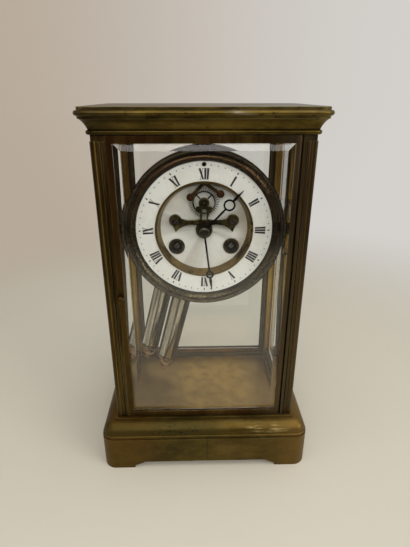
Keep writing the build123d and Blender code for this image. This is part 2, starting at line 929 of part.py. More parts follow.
def hand_nut():
    nut = drum(nut_radius, minute_hand_y - nut_height, minute_hand_y)
    nut = fillet(nut.faces().sort_by(Axis.Y)[0].edges(), nut_round)
    bore_end = minute_hand_y - nut_grip - running_gap
    return nut - drum(hand_arbor + running_gap, bore_end, minute_hand_y + cut_over)


# Plates

def plate_holes():
    return [
        ((0, 0), centre_arbor), (third_place, fine_arbor), (escape_place, fine_arbor),
        (anchor_place, anchor_arbor), (strike_place, strike_arbor_radius),
        (pin_wheel_place, fine_arbor), (fly_place, fine_arbor), (hammer_place, strike_arbor_radius),
        ((winding_x, winding_z), barrel_arbor), ((-winding_x, winding_z), barrel_arbor),
    ]


def post_places():
    return [(post_place * cos(radians(turn)), post_place * sin(radians(turn))) for turn in post_turns]


def movement_plate():
    plate = Circle(plate_radius)
    for place, radius in plate_holes():
        plate -= Pos(*place) * Circle(radius + running_gap)
    for place in post_places():
        plate -= Pos(*place) * Circle(post_neck + seat_gap)
    return plate


def front_plate():
    body = slab(movement_plate(), front_plate_y, plates_open)
    stud = front_plate_y - motion_space + free_gap
    body += drum(hand_arbor, stud, front_plate_y, minute_wheel_place)
    for side in (-1, 1):
        body += drum(click_stud, front_plate_y - ratchet_thickness - free_gap, front_plate_y,
                     click_pivot(side))
    return body


def back_plate():
    return slab(movement_plate(), plates_close, back_plate_y)


def plate_posts():
    posts = Part()
    for place in post_places():
        post = drum(post_radius, plates_open, plates_close, place)
        post += drum(post_neck, front_plate_y, back_plate_y, place)
        posts += post
    return posts


# Going train

def barrel(side, wheel_depth, phase):
    place = (side * winding_x, winding_z)
    module = great_module()
    front = plates_open + wheel_depth
    end = plates_open + drum_end
    body = slab(wheel_sketch(great_teeth, module, phase), front, front + great_thickness, place)
    body += drum(drum_radius, front + great_thickness, end - drum_lid, place)
    body += drum(drum_radius - drum_lid_step, end - drum_lid, end, place)
    return body - drum(barrel_arbor + running_gap, front - cut_over, end + cut_over, place)


def great_module():
    return meshing_module((0, 0), (winding_x, winding_z), great_teeth, great_pinion_teeth)


def going_barrel():
    return barrel(1, going_great_depth, heading((winding_x, winding_z), (0, 0)))


def strike_barrel():
    return barrel(-1, strike_great_depth, heading((-winding_x, winding_z), strike_place))


def ratchet_sketch():
    points = []
    for number in range(ratchet_teeth):
        angle = 2 * pi * number / ratchet_teeth
        points.append((ratchet_root * cos(angle), ratchet_root * sin(angle)))
        points.append((ratchet_tip * cos(angle), ratchet_tip * sin(angle)))
    return make_face(Polyline(*points, close=True))


def winding_arbor(side):
    place = (side * winding_x, winding_z)
    ratchet_back = front_plate_y - free_gap / 2
    ratchet_front = ratchet_back - ratchet_thickness
    body = drum(barrel_arbor, ratchet_back, back_plate_y, place)
    body += slab(ratchet_sketch(), ratchet_front, ratchet_back, place)
    square = Rectangle(winding_square, winding_square, rotation=45)
    return body + slab(square, front_plate_y - square_end, ratchet_front, place)


def click_pivot(side):
    return (side * (winding_x + click_place[0]), winding_z + click_place[1])


def click(side):
    pivot = click_pivot(side)
    barrel_at = (side * winding_x, winding_z)
    reach = distance(pivot, barrel_at) - ratchet_tip - free_gap
    turn = degrees(heading(pivot, barrel_at))
    pawl = make_face(Polyline((0, -click_boss), (reach, -click_tip), (reach, click_tip),
                              (0, click_boss), close=True))
    shape = Rot(0, 0, turn) * (pawl + Circle(click_boss)) - Circle(click_stud + running_gap)
    back = front_plate_y - free_gap / 2
    return slab(shape, back - ratchet_thickness, back, pivot)


def centre_wheel():
    module = great_module()
    phase = gap_phase((0, 0), (winding_x, winding_z), great_pinion_teeth)
    great = plates_open + going_great_depth
    body = drum(centre_arbor, front_plate_y - free_gap, back_plate_y)
    body += drum(hand_arbor, minute_hand_y - nut_grip, front_plate_y)
    body += slab(pinion_sketch(great_pinion_teeth, module, phase), great - pinion_margin,
                 great + great_thickness + pinion_margin)
    wheel_module = meshing_module((0, 0), third_place, centre_teeth, leaf_teeth)
    front = plates_open + centre_wheel_depth
    wheel = crossed_wheel(centre_teeth, wheel_module, heading((0, 0), third_place))
    return body + slab(wheel, front, front + wheel_thickness)


def third_wheel():
    pinion_module = meshing_module((0, 0), third_place, centre_teeth, leaf_teeth)
    phase = gap_phase(third_place, (0, 0), leaf_teeth)
    centre = plates_open + centre_wheel_depth
    body = drum(fine_arbor, front_plate_y + free_gap, back_plate_y - free_gap, third_place)
    body += slab(pinion_sketch(leaf_teeth, pinion_module, phase), centre - pinion_margin,
                 centre + wheel_thickness + pinion_margin, third_place)
    module = meshing_module(third_place, escape_place, third_teeth, leaf_teeth)
    wheel = crossed_wheel(third_teeth, module, heading(third_place, escape_place))
    front = plates_open + third_wheel_depth
    return body + slab(wheel, front, front + wheel_thickness, third_place)


# Motion work under the dial

def motion_module():
    return meshing_module((0, 0), minute_wheel_place, cannon_teeth, minute_teeth)


def cannon_pinion():
    back = front_plate_y - cannon_pinion_depth
    phase = gap_phase((0, 0), minute_wheel_place, cannon_teeth)
    body = drum(cannon_outer, minute_hand_y, back)
    body += slab(pinion_sketch(cannon_teeth, motion_module(), phase), back - cannon_pinion_width, back)
    return body - drum(hand_arbor + running_gap, minute_hand_y - cut_over, back + cut_over)


def hour_module():
    return meshing_module((0, 0), minute_wheel_place, hour_teeth, minute_pinion_teeth)


def minute_wheel():
    back = front_plate_y - minute_wheel_depth
    phase = heading(minute_wheel_place, (0, 0))
    wheel = wheel_sketch(minute_teeth, motion_module(), phase)
    body = slab(wheel, back - wheel_thickness, back, minute_wheel_place)
    hour_back = front_plate_y - hour_wheel_depth
    leaf_phase = gap_phase(minute_wheel_place, (0, 0), minute_pinion_teeth)
    leaves = pinion_sketch(minute_pinion_teeth, hour_module(), leaf_phase)
    body += slab(leaves, hour_back - wheel_thickness - pinion_margin / 2, back - wheel_thickness,
                 minute_wheel_place)
    bore = hand_arbor + running_gap
    return body - drum(bore, front_plate_y - motion_space - cut_over, front_plate_y, minute_wheel_place)


def hour_wheel():
    back = front_plate_y - hour_wheel_depth
    wheel = wheel_sketch(hour_teeth, hour_module(), heading((0, 0), minute_wheel_place))
    body = slab(wheel, back - wheel_thickness, back)
    body += drum(pipe_outer, hour_hand_y, back)
    return body - drum(cannon_outer + running_gap, hour_hand_y - cut_over, back + cut_over)


# Open escapement in the dial centre

def escape_wheel():
    pitch = 2 * pi / escape_teeth
    phase = escape_phase()
    points = []
    for number in range(escape_teeth):
        angle = phase + number * pitch
        for radius, share in (
                (escape_rim, -escape_tooth_root_share),
                (escape_tip, escape_tooth_rake_share - escape_tooth_tip_share),
                (escape_tip, escape_tooth_rake_share + escape_tooth_tip_share),
                (escape_rim, escape_tooth_root_share)):
            turn = angle + share * pitch
            points.append((radius * cos(turn), radius * sin(turn)))
    wheel = make_face(Polyline(*points, close=True))
    wheel -= crossings(escape_hub, escape_rim - escape_rim_width, escape_arms, escape_spoke,
                       escape_arm_turn)
    front = centre_y - escape_wheel_rise - escape_wheel_thickness
    body = slab(wheel, front, front + escape_wheel_thickness, escape_place)
    cock_front = centre_y - cock_rise - cock_thickness
    body += drum(fine_arbor, cock_front + free_gap, back_plate_y - free_gap, escape_place)
    module = meshing_module(third_place, escape_place, third_teeth, leaf_teeth)
    leaf_phase = gap_phase(escape_place, third_place, leaf_teeth)
    third = plates_open + third_wheel_depth
    leaves = pinion_sketch(leaf_teeth, module, leaf_phase)
    return body + slab(leaves, third - pinion_margin, third + wheel_thickness + pinion_margin, escape_place)


# Pallet places, left then right, as the anchor leans
def pallet_places():
    places = []
    for side in (-1, 1):
        angle = radians(-90 + side * anchor_spread / 2 + anchor_lean)
        places.append((anchor_place[0] + anchor_reach * cos(angle),
                       anchor_place[1] + anchor_reach * sin(angle)))
    return places


# The pallets stand a half-integer count of pitches apart, and a gap takes the left one
def escape_phase():
    pitch = 2 * pi / escape_teeth
    gap = pi / 2 + locking_pitches * pitch / 2
    return gap + pitch / 2 - escape_tooth_rake_share * pitch


def anchor():
    front = centre_y - escape_wheel_rise - escape_wheel_thickness - free_gap - anchor_thickness
    back = front + anchor_thickness
    shape = Circle(anchor_hub)
    for x, z in pallet_places():
        end = (x - anchor_place[0], z - anchor_place[1])
        turn = degrees(atan2(end[1], end[0]))
        shape += Pos(end[0] / 2, end[1] / 2) * (Rot(0, 0, turn) * Rectangle(anchor_reach, anchor_arm))
        shape += Pos(*end) * Circle(anchor_boss)
        shape -= Pos(*end) * Circle(jewel_radius + seat_gap)
    body = slab(shape, front, back, anchor_place)
    return body + drum(anchor_arbor, front, back_plate_y + crutch_start + crutch_collet_length, anchor_place)


def pallet_jewels():
    front = centre_y - escape_wheel_rise - escape_wheel_thickness - free_gap - anchor_thickness
    jewels = Part()
    for x, z in pallet_places():
        jewel = drum(jewel_radius, front, front + anchor_thickness, (x, z))
        jewel += drum(jewel_head, front - jewel_proud, front, (x, z))
        turn = degrees(atan2(z - anchor_place[1], x - anchor_place[0]))
        half = Pos(-jewel_thickness / 2, 0) * Rectangle(jewel_thickness, 2 * jewel_radius)
        pin = Circle(jewel_radius) & half
        back = front + anchor_thickness
        jewel += slab(Rot(0, 0, turn) * pin, back, back + jewel_reach, (x, z))
        jewels += jewel
    return jewels


def escapement_cock():
    front = centre_y - cock_rise - cock_thickness
    shape = Circle(cock_body)
    for side in (-1, 1):
        boss = (side * cock_boss_x, cock_boss_z)
        spur = (side * cock_spur_x, cock_spur_z)
        upper = (side * cock_body / 2, cock_arm_top)
        lower = (side * cock_body / 2, cock_arm_low)
        start = (side * (cock_boss_x - cock_boss), cock_boss_z)
        middle = (side * (cock_boss_x - cock_boss) / 2 + side * cock_body / 4, cock_arm_top)
        under = ((spur[0] + lower[0]) / 2, cock_arm_low + (cock_arm_top - cock_arm_low) / 4)
        line = ThreePointArc(upper, (middle[0], cock_arm_top - cock_arm_sag), start)
        line += Polyline(start, boss, (side * (cock_boss_x + cock_foot), cock_boss_z - cock_boss / 2), spur)
        line += ThreePointArc(spur, under, lower)
        line += Line(lower, upper)
        shape += make_face(line)
        shape += Pos(*boss) * Circle(cock_boss)
        shape += Pos(side * cock_ear_x, escape_place[1] - cock_ear_drop) * Circle(cock_ear)
    stem_top = escape_place[1]
    shape += Pos(0, stem_top / 2) * Rectangle(2 * cock_stem, stem_top)
    shape += Pos(*escape_place) * Circle(cock_head)
    shape -= Circle(cock_body_hole)
    window = cock_window_high - cock_window_low
    shape -= Pos(0, (cock_window_low + cock_window_high) / 2) * Rectangle(2 * cock_window, window)
    shape -= Pos(*escape_place) * Circle(fine_arbor + running_gap)
    body = slab(shape, front, front + cock_thickness)
    for side in (-1, 1):
        body += drum(cock_foot, front + cock_thickness, centre_y, (side * cock_boss_x, cock_boss_z))
    return body


# Strike train

def strike_wheel():
    pinion_phase = gap_phase(strike_place, (-winding_x, winding_z), great_pinion_teeth)
    module = meshing_module(strike_place, (-winding_x, winding_z), great_teeth, great_pinion_teeth)
    great = plates_open + strike_great_depth
    count_front = back_plate_y + count_gap
    count_back = count_front + count_thickness
    body = drum(strike_arbor_radius, front_plate_y + free_gap, count_back, strike_place)
    body += slab(pinion_sketch(great_pinion_teeth, module, pinion_phase), great - pinion_margin,
                 great + great_thickness + pinion_margin, strike_place)
    wheel_module = meshing_module(strike_place, pin_wheel_place, centre_teeth, leaf_teeth)
    wheel = crossed_wheel(centre_teeth, wheel_module, heading(strike_place, pin_wheel_place))
    front = plates_open + strike_wheel_depth
    body += slab(wheel, front, front + wheel_thickness, strike_place)
    return body + slab(count_sketch(), count_front, count_back, strike_place)


# One notch after each hour's blows, with a wider one for the half hours
def count_sketch():
    disc = Circle(count_radius)
    blows = sum(hour + 1 for hour in range(1, 13))
    struck = 0
    for hour in range(1, 13):
        struck += hour + 1
        notch = Pos(count_radius, 0) * Rectangle(count_notch, count_notch / 2)
        disc -= Rot(0, 0, 360 * struck / blows) * notch
    return disc


def pin_wheel():
    pinion_module = meshing_module(strike_place, pin_wheel_place, centre_teeth, leaf_teeth)
    phase = gap_phase(pin_wheel_place, strike_place, leaf_teeth)
    driver = plates_open + strike_wheel_depth
    body = drum(fine_arbor, front_plate_y + free_gap, back_plate_y - free_gap, pin_wheel_place)
    body += slab(pinion_sketch(leaf_teeth, pinion_module, phase), driver - pinion_margin,
                 driver + wheel_thickness + pinion_margin, pin_wheel_place)
    module = meshing_module(pin_wheel_place, fly_place, pin_teeth, leaf_teeth)
    front = plates_open + pin_wheel_depth
    back = front + wheel_thickness
    wheel = crossed_wheel(pin_teeth, module, heading(pin_wheel_place, fly_place))
    body += slab(wheel, front, back, pin_wheel_place)
    for number in range(strike_pins):
        angle = 2 * pi * number / strike_pins
        place = (pin_wheel_place[0] + strike_pin_place * cos(angle),
                 pin_wheel_place[1] + strike_pin_place * sin(angle))
        body += drum(strike_pin_radius, back, back + strike_pin_length, place)
    return body


def fly():
    module = meshing_module(pin_wheel_place, fly_place, pin_teeth, leaf_teeth)
    phase = gap_phase(fly_place, pin_wheel_place, leaf_teeth)
    driver = plates_open + pin_wheel_depth
    body = drum(fine_arbor, front_plate_y + free_gap, back_plate_y - free_gap, fly_place)
    body += slab(pinion_sketch(leaf_teeth, module, phase), driver - pinion_margin,
                 driver + wheel_thickness + pinion_margin, fly_place)
    vane = Rectangle(2 * fly_half_width, fly_thickness) + Circle(2 * fine_arbor)
    start = plates_open + fly_start
    return body + slab(vane, start, start + fly_length, fly_place)


def hammer():
    pins_front = plates_open + pin_wheel_depth + wheel_thickness
    pins_back = pins_front + strike_pin_length
    arm_front = back_plate_y + hammer_arm_gap
    arm_back = arm_front + hammer_arm_thickness
    body = drum(strike_arbor_radius, front_plate_y + free_gap, arm_back, hammer_place)
    body += drum(hammer_hub, pins_front, pins_back, hammer_place)
    turn = degrees(heading(hammer_place, pin_wheel_place))
    reach = distance(hammer_place, pin_wheel_place)
    reach -= strike_pin_place + strike_pin_radius + hammer_tail_gap
    tail = Rot(0, 0, turn) * (Pos(reach / 2, 0) * Rectangle(reach, hammer_tail))
    body += slab(tail, pins_front, pins_back, hammer_place)
    rim = (bell_radius ** 2 - hammer_head_z ** 2) ** 0.5
    head_end = -rim - hammer_head_gap
    head_middle = head_end - hammer_head_length / 2
    end = (head_middle - hammer_place[0], hammer_head_z - hammer_place[1])
    length = hypot(*end)
    bar = Pos(end[0] / 2, end[1] / 2) * (
        Rot(0, 0, degrees(atan2(end[1], end[0]))) * Rectangle(length, hammer_arm))
    arm = bar + Circle(hammer_hub) + Pos(*end) * Circle(hammer_arm / 2)
    body += slab(arm, arm_front, arm_back, hammer_place)
    head_plane = Plane(origin=(head_end - hammer_head_length, (arm_front + arm_back) / 2,
                               dial_z + hammer_head_z), x_dir=(0, 1, 0), z_dir=(1, 0, 0))
    return body + extrude(head_plane * Circle(hammer_head_radius), amount=hammer_head_length)


def bell():
    mouth = back_plate_y + bell_gap
    top = mouth + bell_depth
    bore = bell_bore + seat_gap
    crown = bell_radius - bell_depth
    inner_depth = bell_depth - bell_wall
    slant = cos(pi / 4)
    outer_mid = (crown + bell_depth * slant, mouth + bell_depth * slant)
    inner_mid = (crown + inner_depth * slant, mouth + inner_depth * slant)
    line = Polyline((bell_radius, mouth), (bell_radius - bell_wall, mouth))
    line += ThreePointArc((bell_radius - bell_wall, mouth), inner_mid, (crown, top - bell_wall))
    line += Polyline((crown, top - bell_wall), (bore, top - bell_wall), (bore, top), (crown, top))
    line += ThreePointArc((crown, top), outer_mid, (bell_radius, mouth))
    return turned(line)


def bell_stand():
    bell_top = back_plate_y + bell_gap + bell_depth
    seat = bell_top - bell_wall
    arm_front = back_plate_y + stand_arm_gap
    arm_back = arm_front + stand_arm_thickness
    body = drum(stand_post, back_plate_y, arm_back, stand_place)
    turn = degrees(heading((0, 0), stand_place))
    length = distance((0, 0), stand_place)
    arm = Rot(0, 0, turn) * (Pos(length / 2, 0) * SlotOverall(length + stand_arm, stand_arm))
    body += slab(arm, arm_front, arm_back)
    body += drum(bell_bore, arm_front, bell_top + stand_nut_height)
    body += drum(stand_flange, seat - stand_flange_thickness, seat)
    return body + slab(RegularPolygon(stand_nut, 6), bell_top, bell_top + stand_nut_height)


# Suspension and regulator

def suspension_block():
    low = swing_z + bracket_low
    high = swing_z + bracket_high
    foot_back = back_plate_y + bracket_foot
    body = between(-bracket_half, bracket_half, back_plate_y, foot_back, low, high)
    block_low = swing_z + bracket_block_low
    body += between(-bracket_block_half, bracket_block_half, foot_back,
                    back_plate_y + bracket_block_depth, block_low, high)
    body -= drum(regulator_radius + running_gap, back_plate_y - cut_over,
                 back_plate_y + regulator_bite, (0, regulator_rise))
    half = spring_width / 2 + seat_gap
    body -= between(-spring_slot / 2, spring_slot / 2, swing_y - half, swing_y + half,
                    block_low - cut_over, swing_z + spring_rise + seat_gap)
    return body


def suspension_spring():
    half = spring_width / 2
    low = swing_z + spring_drop
    strip = between(-spring_strip / 2, spring_strip / 2, swing_y - half, swing_y + half,
                    low, swing_z + spring_rise)
    chop_top = swing_z + bracket_block_low
    chop = between(-spring_chop_half, spring_chop_half, swing_y - half, swing_y + half,
                   chop_top - spring_chop_height, chop_top)
    return strip + chop


def regulator_arbor():
    place = (0, regulator_rise)
    front = chapter_y + seat_gap
    shoulder = front + regulator_square_length
    body = slab(Rectangle(regulator_square, regulator_square), front, shoulder, place)
    body += drum(regulator_radius, shoulder, back_plate_y + regulator_bite - seat_gap, place)
    crown_back = back_plate_y - free_gap
    return body + drum(regulator_crown, crown_back - regulator_crown_thickness, crown_back, place)


# Pendulum: drawn plumb below the swing axis, then leaned as it hangs

def hang(body, twist):
    swing = Pos(0, swing_y, swing_z) * Rot(0, pendulum_lean, 0)
    return swing * Rot(0, 0, twist) * body


# A round rod or turned step between two lengths below the axis
def dropped(radius, start, end, x=0, y=0):
    return Pos(x, y, -(start + end) / 2) * Cylinder(radius, end - start)


def pendulum_rod():
    body = dropped(rod_radius, hook_start + hook_length / 2, rod_end)
    hook = Box(hook_thickness, hook_width, hook_length)
    body += Pos(0, 0, -hook_start - hook_length / 2) * hook
    return hang(body, 0)


def crutch():
    front = back_plate_y + crutch_start - swing_y
    collet_back = front + crutch_collet_length
    lay = Rot(90, 0, 0)
    collet = Pos(0, (front + collet_back) / 2, 0) * lay * Cylinder(crutch_collet, crutch_collet_length)
    bar = between(-crutch_bar / 2, crutch_bar / 2, front, front + crutch_bar_thickness, -crutch_length, 0)
    body = collet + bar
    back = rod_radius + crutch_prong_over
    gap = rod_radius + free_gap + crutch_prong
    for side in (-1, 1):
        prong = Pos(side * gap, (front + back) / 2, -crutch_length + crutch_prong)
        body += prong * lay * Cylinder(crutch_prong, back - front)
    half_foot = gap + crutch_prong
    body += between(-half_foot, half_foot, front, front + crutch_bar_thickness,
                    -crutch_length, -crutch_length + 2 * crutch_prong)
    bore = anchor_arbor + running_gap
    body -= Pos(0, (front + collet_back) / 2, 0) * lay * Cylinder(bore, crutch_collet_length + cut_over)
    return hang(body, 0)


# A strap bent round under a vial, outer face at the full drop
def cradle(x):
    outer = vial_radius + cradle_gap + cradle_thickness
    inner = outer - cradle_thickness
    line = ThreePointArc((-outer, 0), (0, -cradle_drop), (outer, 0))
    line += Line((outer, 0), (inner, 0))
    line += ThreePointArc((inner, 0), (0, cradle_thickness - cradle_drop), (-inner, 0))
    line += Line((-inner, 0), (-outer, 0))
    plane = Plane(origin=(x, cradle_width / 2, -cup_end), x_dir=(1, 0, 0), z_dir=(0, -1, 0))
    body = extrude(plane * make_face(line), amount=cradle_width)
    strap_length = cup_end - vial_top + cap_height
    middle = -(cup_end - strap_length / 2)
    for side in (-1, 1):
        strap_x = x + side * (inner + cradle_thickness / 2)
        body += Pos(strap_x, 0, middle) * Box(cradle_thickness, cradle_width, strap_length)
    return body


# Neck, ring, ball and tip below the strap
def finial(start):
    ring = start + finial_neck_length
    ring_end = ring + finial_ring_length
    ball = ring_end - finial_sink + finial_ball
    body = dropped(finial_neck, start - cradle_thickness / 2, ball)
    body += dropped(finial_ring, ring, ring_end)
    body += Pos(0, 0, -ball) * Sphere(finial_ball)
    return body + Pos(0, 0, -ball - finial_ball) * Sphere(finial_tip)


def vial_frame():
    bar_low = yoke_top + yoke_bar
    half = vial_spacing / 2
    cap_top = vial_top - cap_height
    bar = Box(vial_spacing + 2 * yoke_over, yoke_depth, yoke_bar)
    body = Pos(0, 0, -(yoke_top + bar_low) / 2) * bar
    body += dropped(yoke_boss, yoke_top - yoke_boss_rise, bar_low)
    body -= dropped(rod_radius + running_gap, yoke_top - cut_over, bar_low + cut_over)
    for side in (-1, 1):
        x = side * half
        body += dropped(leg_radius, bar_low, cap_top, x)
        body += dropped(vial_radius + cap_over, cap_top, vial_top, x)
        body += dropped(vial_radius + cap_over, vial_bottom, cup_end, x)
        body += cradle(x)
        body += Pos(x, 0, 0) * finial(cup_end + cradle_drop)
    return hang(body, bob_twist)


def glass_vials():
    vials = Part()
    for side in (-1, 1):
        x = side * vial_spacing / 2
        vial = dropped(vial_radius, vial_top, vial_bottom, x)
        vials += vial - dropped(vial_radius - vial_wall, vial_top - cut_over, vial_bottom - vial_wall, x)
    return hang(vials, bob_twist)


def mercury_columns():
    columns = Part()
    for side in (-1, 1):
        x = side * vial_spacing / 2
        columns += dropped(vial_radius - vial_wall - seat_gap, vial_top + fill_drop,
                           vial_bottom - vial_wall - seat_gap, x)
    return hang(columns, bob_twist)


def rating_nut():
    top = yoke_top + yoke_bar + rating_gap
    body = dropped(rating_radius, top, top + rating_height)
    for number in range(rating_flutes):
        angle = 2 * pi * number / rating_flutes
        body -= dropped(rating_flute, top - cut_over, top + rating_height + cut_over,
                        rating_radius * cos(angle), rating_radius * sin(angle))
    body -= dropped(rod_radius + running_gap, top - cut_over, top + rating_height + cut_over)
    return hang(body, 0)


pieces = {
    "base_plinth": base_plinth(),
    "floor_plate": floor_plate(),
    "pillar_front_left": pillar(True, True, True),
    "pillar_front_right": pillar(False, True, False),
    "pillar_back_left": pillar(True, False, False),
    "pillar_back_right": pillar(False, False, True),
    "tie_rods": tie_rods(),
    "cornice": cornice(),
    "side_rails": side_rails(),
    "side_glass_left": side_pane(-1),
    "side_glass_right": side_pane(1),
    "hinge_pins": hinge_pins(),
    "front_door_frame": door_frame(),
    "front_glass": door_pane(),
    "front_latch": door_latch(),
    "back_door_frame": turned_round(door_frame()),
    "back_glass": turned_round(door_pane()),
    "back_latch": turned_round(door_latch()),
    "dial_bezel": dial_bezel(),
    "chapter_ring": chapter_ring(),
    "sight_ring": sight_ring(),
    "dial_centre": dial_centre(),
    "winding_collets": winding_collets(),
    "movement_straps": movement_straps(),
    "hour_hand": hour_hand(),
    "minute_hand": minute_hand(),
    "hand_nut": hand_nut(),
    "front_plate": front_plate(),
    "back_plate": back_plate(),
    "plate_posts": plate_posts(),
    "going_barrel": going_barrel(),
    "strike_barrel": strike_barrel(),
    "going_arbor": winding_arbor(1),
    "strike_arbor": winding_arbor(-1),
    "going_click": click(1),
    "strike_click": click(-1),
    "centre_wheel": centre_wheel(),
    "third_wheel": third_wheel(),
    "cannon_pinion": cannon_pinion(),
    "minute_wheel": minute_wheel(),
    "hour_wheel": hour_wheel(),
    "escape_wheel": escape_wheel(),
    "anchor": anchor(),
    "pallet_jewels": pallet_jewels(),
    "escapement_cock": escapement_cock(),
    "strike_wheel": strike_wheel(),
    "pin_wheel": pin_wheel(),
    "fly": fly(),
    "hammer": hammer(),
    "bell": bell(),
    "bell_stand": bell_stand(),
    "suspension_block": suspension_block(),
    "suspension_spring": suspension_spring(),
    "regulator_arbor": regulator_arbor(),
    "pendulum_rod": pendulum_rod(),
    "crutch": crutch(),
    "vial_frame": vial_frame(),
    "glass_vials": glass_vials(),
    "mercury_columns": mercury_columns(),
    "rating_nut": rating_nut(),
}

for name, piece in pieces.items():
    export_step(piece, os.path.join("parts", name + ".step"))
    print(name, len(piece.solids()))
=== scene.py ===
import json
import math
import bpy
import bmesh
from mathutils import Matrix, Vector


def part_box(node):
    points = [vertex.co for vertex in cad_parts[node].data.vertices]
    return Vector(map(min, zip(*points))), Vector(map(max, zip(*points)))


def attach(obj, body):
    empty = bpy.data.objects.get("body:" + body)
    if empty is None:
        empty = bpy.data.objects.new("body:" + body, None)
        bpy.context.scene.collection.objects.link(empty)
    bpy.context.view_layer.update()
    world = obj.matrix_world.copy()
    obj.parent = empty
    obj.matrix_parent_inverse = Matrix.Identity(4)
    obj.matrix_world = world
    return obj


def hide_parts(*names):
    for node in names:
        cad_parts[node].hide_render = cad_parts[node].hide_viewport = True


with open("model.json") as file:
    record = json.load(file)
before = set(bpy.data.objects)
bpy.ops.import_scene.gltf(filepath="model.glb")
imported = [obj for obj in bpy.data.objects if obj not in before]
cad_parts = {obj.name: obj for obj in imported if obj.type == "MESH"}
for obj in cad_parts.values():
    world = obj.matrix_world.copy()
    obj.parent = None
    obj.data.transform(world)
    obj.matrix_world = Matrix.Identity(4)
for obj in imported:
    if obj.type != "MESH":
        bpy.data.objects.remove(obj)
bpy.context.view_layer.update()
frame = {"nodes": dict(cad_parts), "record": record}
cadNodes = frame["nodes"]
print("frame loaded:", len(cadNodes), "pieces")

mm = 0.001

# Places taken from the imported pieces
ringLow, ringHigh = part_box("chapter_ring")
dialX = (ringLow.x + ringHigh.x) / 2
dialZ = (ringLow.z + ringHigh.z) / 2
enamelFront = ringLow.y
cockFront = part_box("escapement_cock")[0].y
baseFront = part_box("base_plinth")[0].y
wheelLow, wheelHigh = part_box("escape_wheel")
wheelAxis = (wheelLow + wheelHigh) / 2
colletLow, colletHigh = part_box("winding_collets")
colletZ = (colletLow.z + colletHigh.z) / 2
colletApart = (colletHigh.x - colletLow.x - (colletHigh.z - colletLow.z)) / 2

# The pendulum rod's line, from the joint that the bob turns on
joints = {joint["name"]: joint for joint in frame["record"]["behaviour"]["joints"]}
rodAxis = Vector(joints["bob_turn"]["axis"]).normalized()
rodFoot = Vector(joints["bob_turn"]["pos_m"])
rodAcross = Vector((0, 1, 0)).cross(rodAxis)


# Node helpers

def addNode(tree, kind, **settings):
    node = tree.nodes.new(kind)
    for key, value in settings.items():
        setattr(node, key, value)
    return node


# Links a socket or writes a plain value
def feed(tree, socket, value):
    if isinstance(value, bpy.types.NodeSocket):
        tree.links.new(value, socket)
    else:
        socket.default_value = value


def mathNode(tree, operation, first, second=None, clamp=False):
    node = addNode(tree, "ShaderNodeMath", operation=operation, use_clamp=clamp)
    feed(tree, node.inputs[0], first)
    if second is not None:
        feed(tree, node.inputs[1], second)
    return node.outputs[0]


def vectorNode(tree, operation, first, second=None):
    node = addNode(tree, "ShaderNodeVectorMath", operation=operation)
    feed(tree, node.inputs[0], first)
    if second is not None:
        feed(tree, node.inputs[1], second)
    return node.outputs["Value"] if operation in ("DOT_PRODUCT", "LENGTH") else node.outputs["Vector"]


# Sockets 6, 7 and 2 are the Mix node's colours
def mixColour(tree, factor, first, second):
    node = addNode(tree, "ShaderNodeMix", data_type="RGBA")
    feed(tree, node.inputs["Factor"], factor)
    feed(tree, node.inputs[6], first)
    feed(tree, node.inputs[7], second)
    return node.outputs[2]


# Two values added up, the second by its share and the first by the rest
def blendValues(tree, first, second, share):
    kept = mathNode(tree, "MULTIPLY", first, mathNode(tree, "SUBTRACT", 1.0, share))
    return mathNode(tree, "ADD", kept, mathNode(tree, "MULTIPLY", second, share))


def mixShader(tree, factor, first, second):
    node = addNode(tree, "ShaderNodeMixShader")
    for socket, value in zip(node.inputs, (factor, first, second)):
        feed(tree, socket, value)
    return node.outputs[0]


def stretch(tree, value, low, high, outLow=0.0, outHigh=1.0):
    node = addNode(tree, "ShaderNodeMapRange", interpolation_type="SMOOTHSTEP")
    feed(tree, node.inputs["Value"], value)
    for name, number in (("From Min", low), ("From Max", high), ("To Min", outLow), ("To Max", outHigh)):
        feed(tree, node.inputs[name], number)
    return node.outputs["Result"]


def noise(tree, vector, scale, detail=4.0, rough=0.55):
    node = addNode(tree, "ShaderNodeTexNoise")
    for name, value in (("Vector", vector), ("Scale", scale), ("Detail", detail), ("Roughness", rough)):
        feed(tree, node.inputs[name], value)
    return node.outputs["Fac"]


def objectPlace(tree):
    return addNode(tree, "ShaderNodeTexCoord").outputs["Object"]


# The place on a face like the dial's, measured from a centre
def flatFrom(tree, centreX, centreZ):
    offset = vectorNode(tree, "SUBTRACT", objectPlace(tree), (centreX, 0, centreZ))
    return vectorNode(tree, "MULTIPLY", offset, (1, 0, 1))


def splitVector(tree, vector):
    node = addNode(tree, "ShaderNodeSeparateXYZ")
    tree.links.new(vector, node.inputs[0])
    return node.outputs


def joinVector(tree, x=0.0, y=0.0, z=0.0):
    node = addNode(tree, "ShaderNodeCombineXYZ")
    for socket, value in zip(node.inputs, (x, y, z)):
        feed(tree, socket, value)
    return node.outputs[0]


# One from low to high and nought outside, with soft ends
def between(tree, value, low, high, soft):
    rise = stretch(tree, value, low - soft, low + soft)
    return mathNode(tree, "MULTIPLY", rise, stretch(tree, value, high + soft, high - soft))


floatKind = "NodeSocketFloat"
colourKind = "NodeSocketColor"
vectorKind = "NodeSocketVector"


def newGroup(name, inputs, outputs):
    group = bpy.data.node_groups.new(name, "ShaderNodeTree")
    for label, kind, value in inputs:
        socket = group.interface.new_socket(name=label, in_out="INPUT", socket_type=kind)
        socket.default_value = value
    for label, kind in outputs:
        group.interface.new_socket(name=label, in_out="OUTPUT", socket_type=kind)
    return group, group.nodes.new("NodeGroupInput"), group.nodes.new("NodeGroupOutput")


# Shared effects

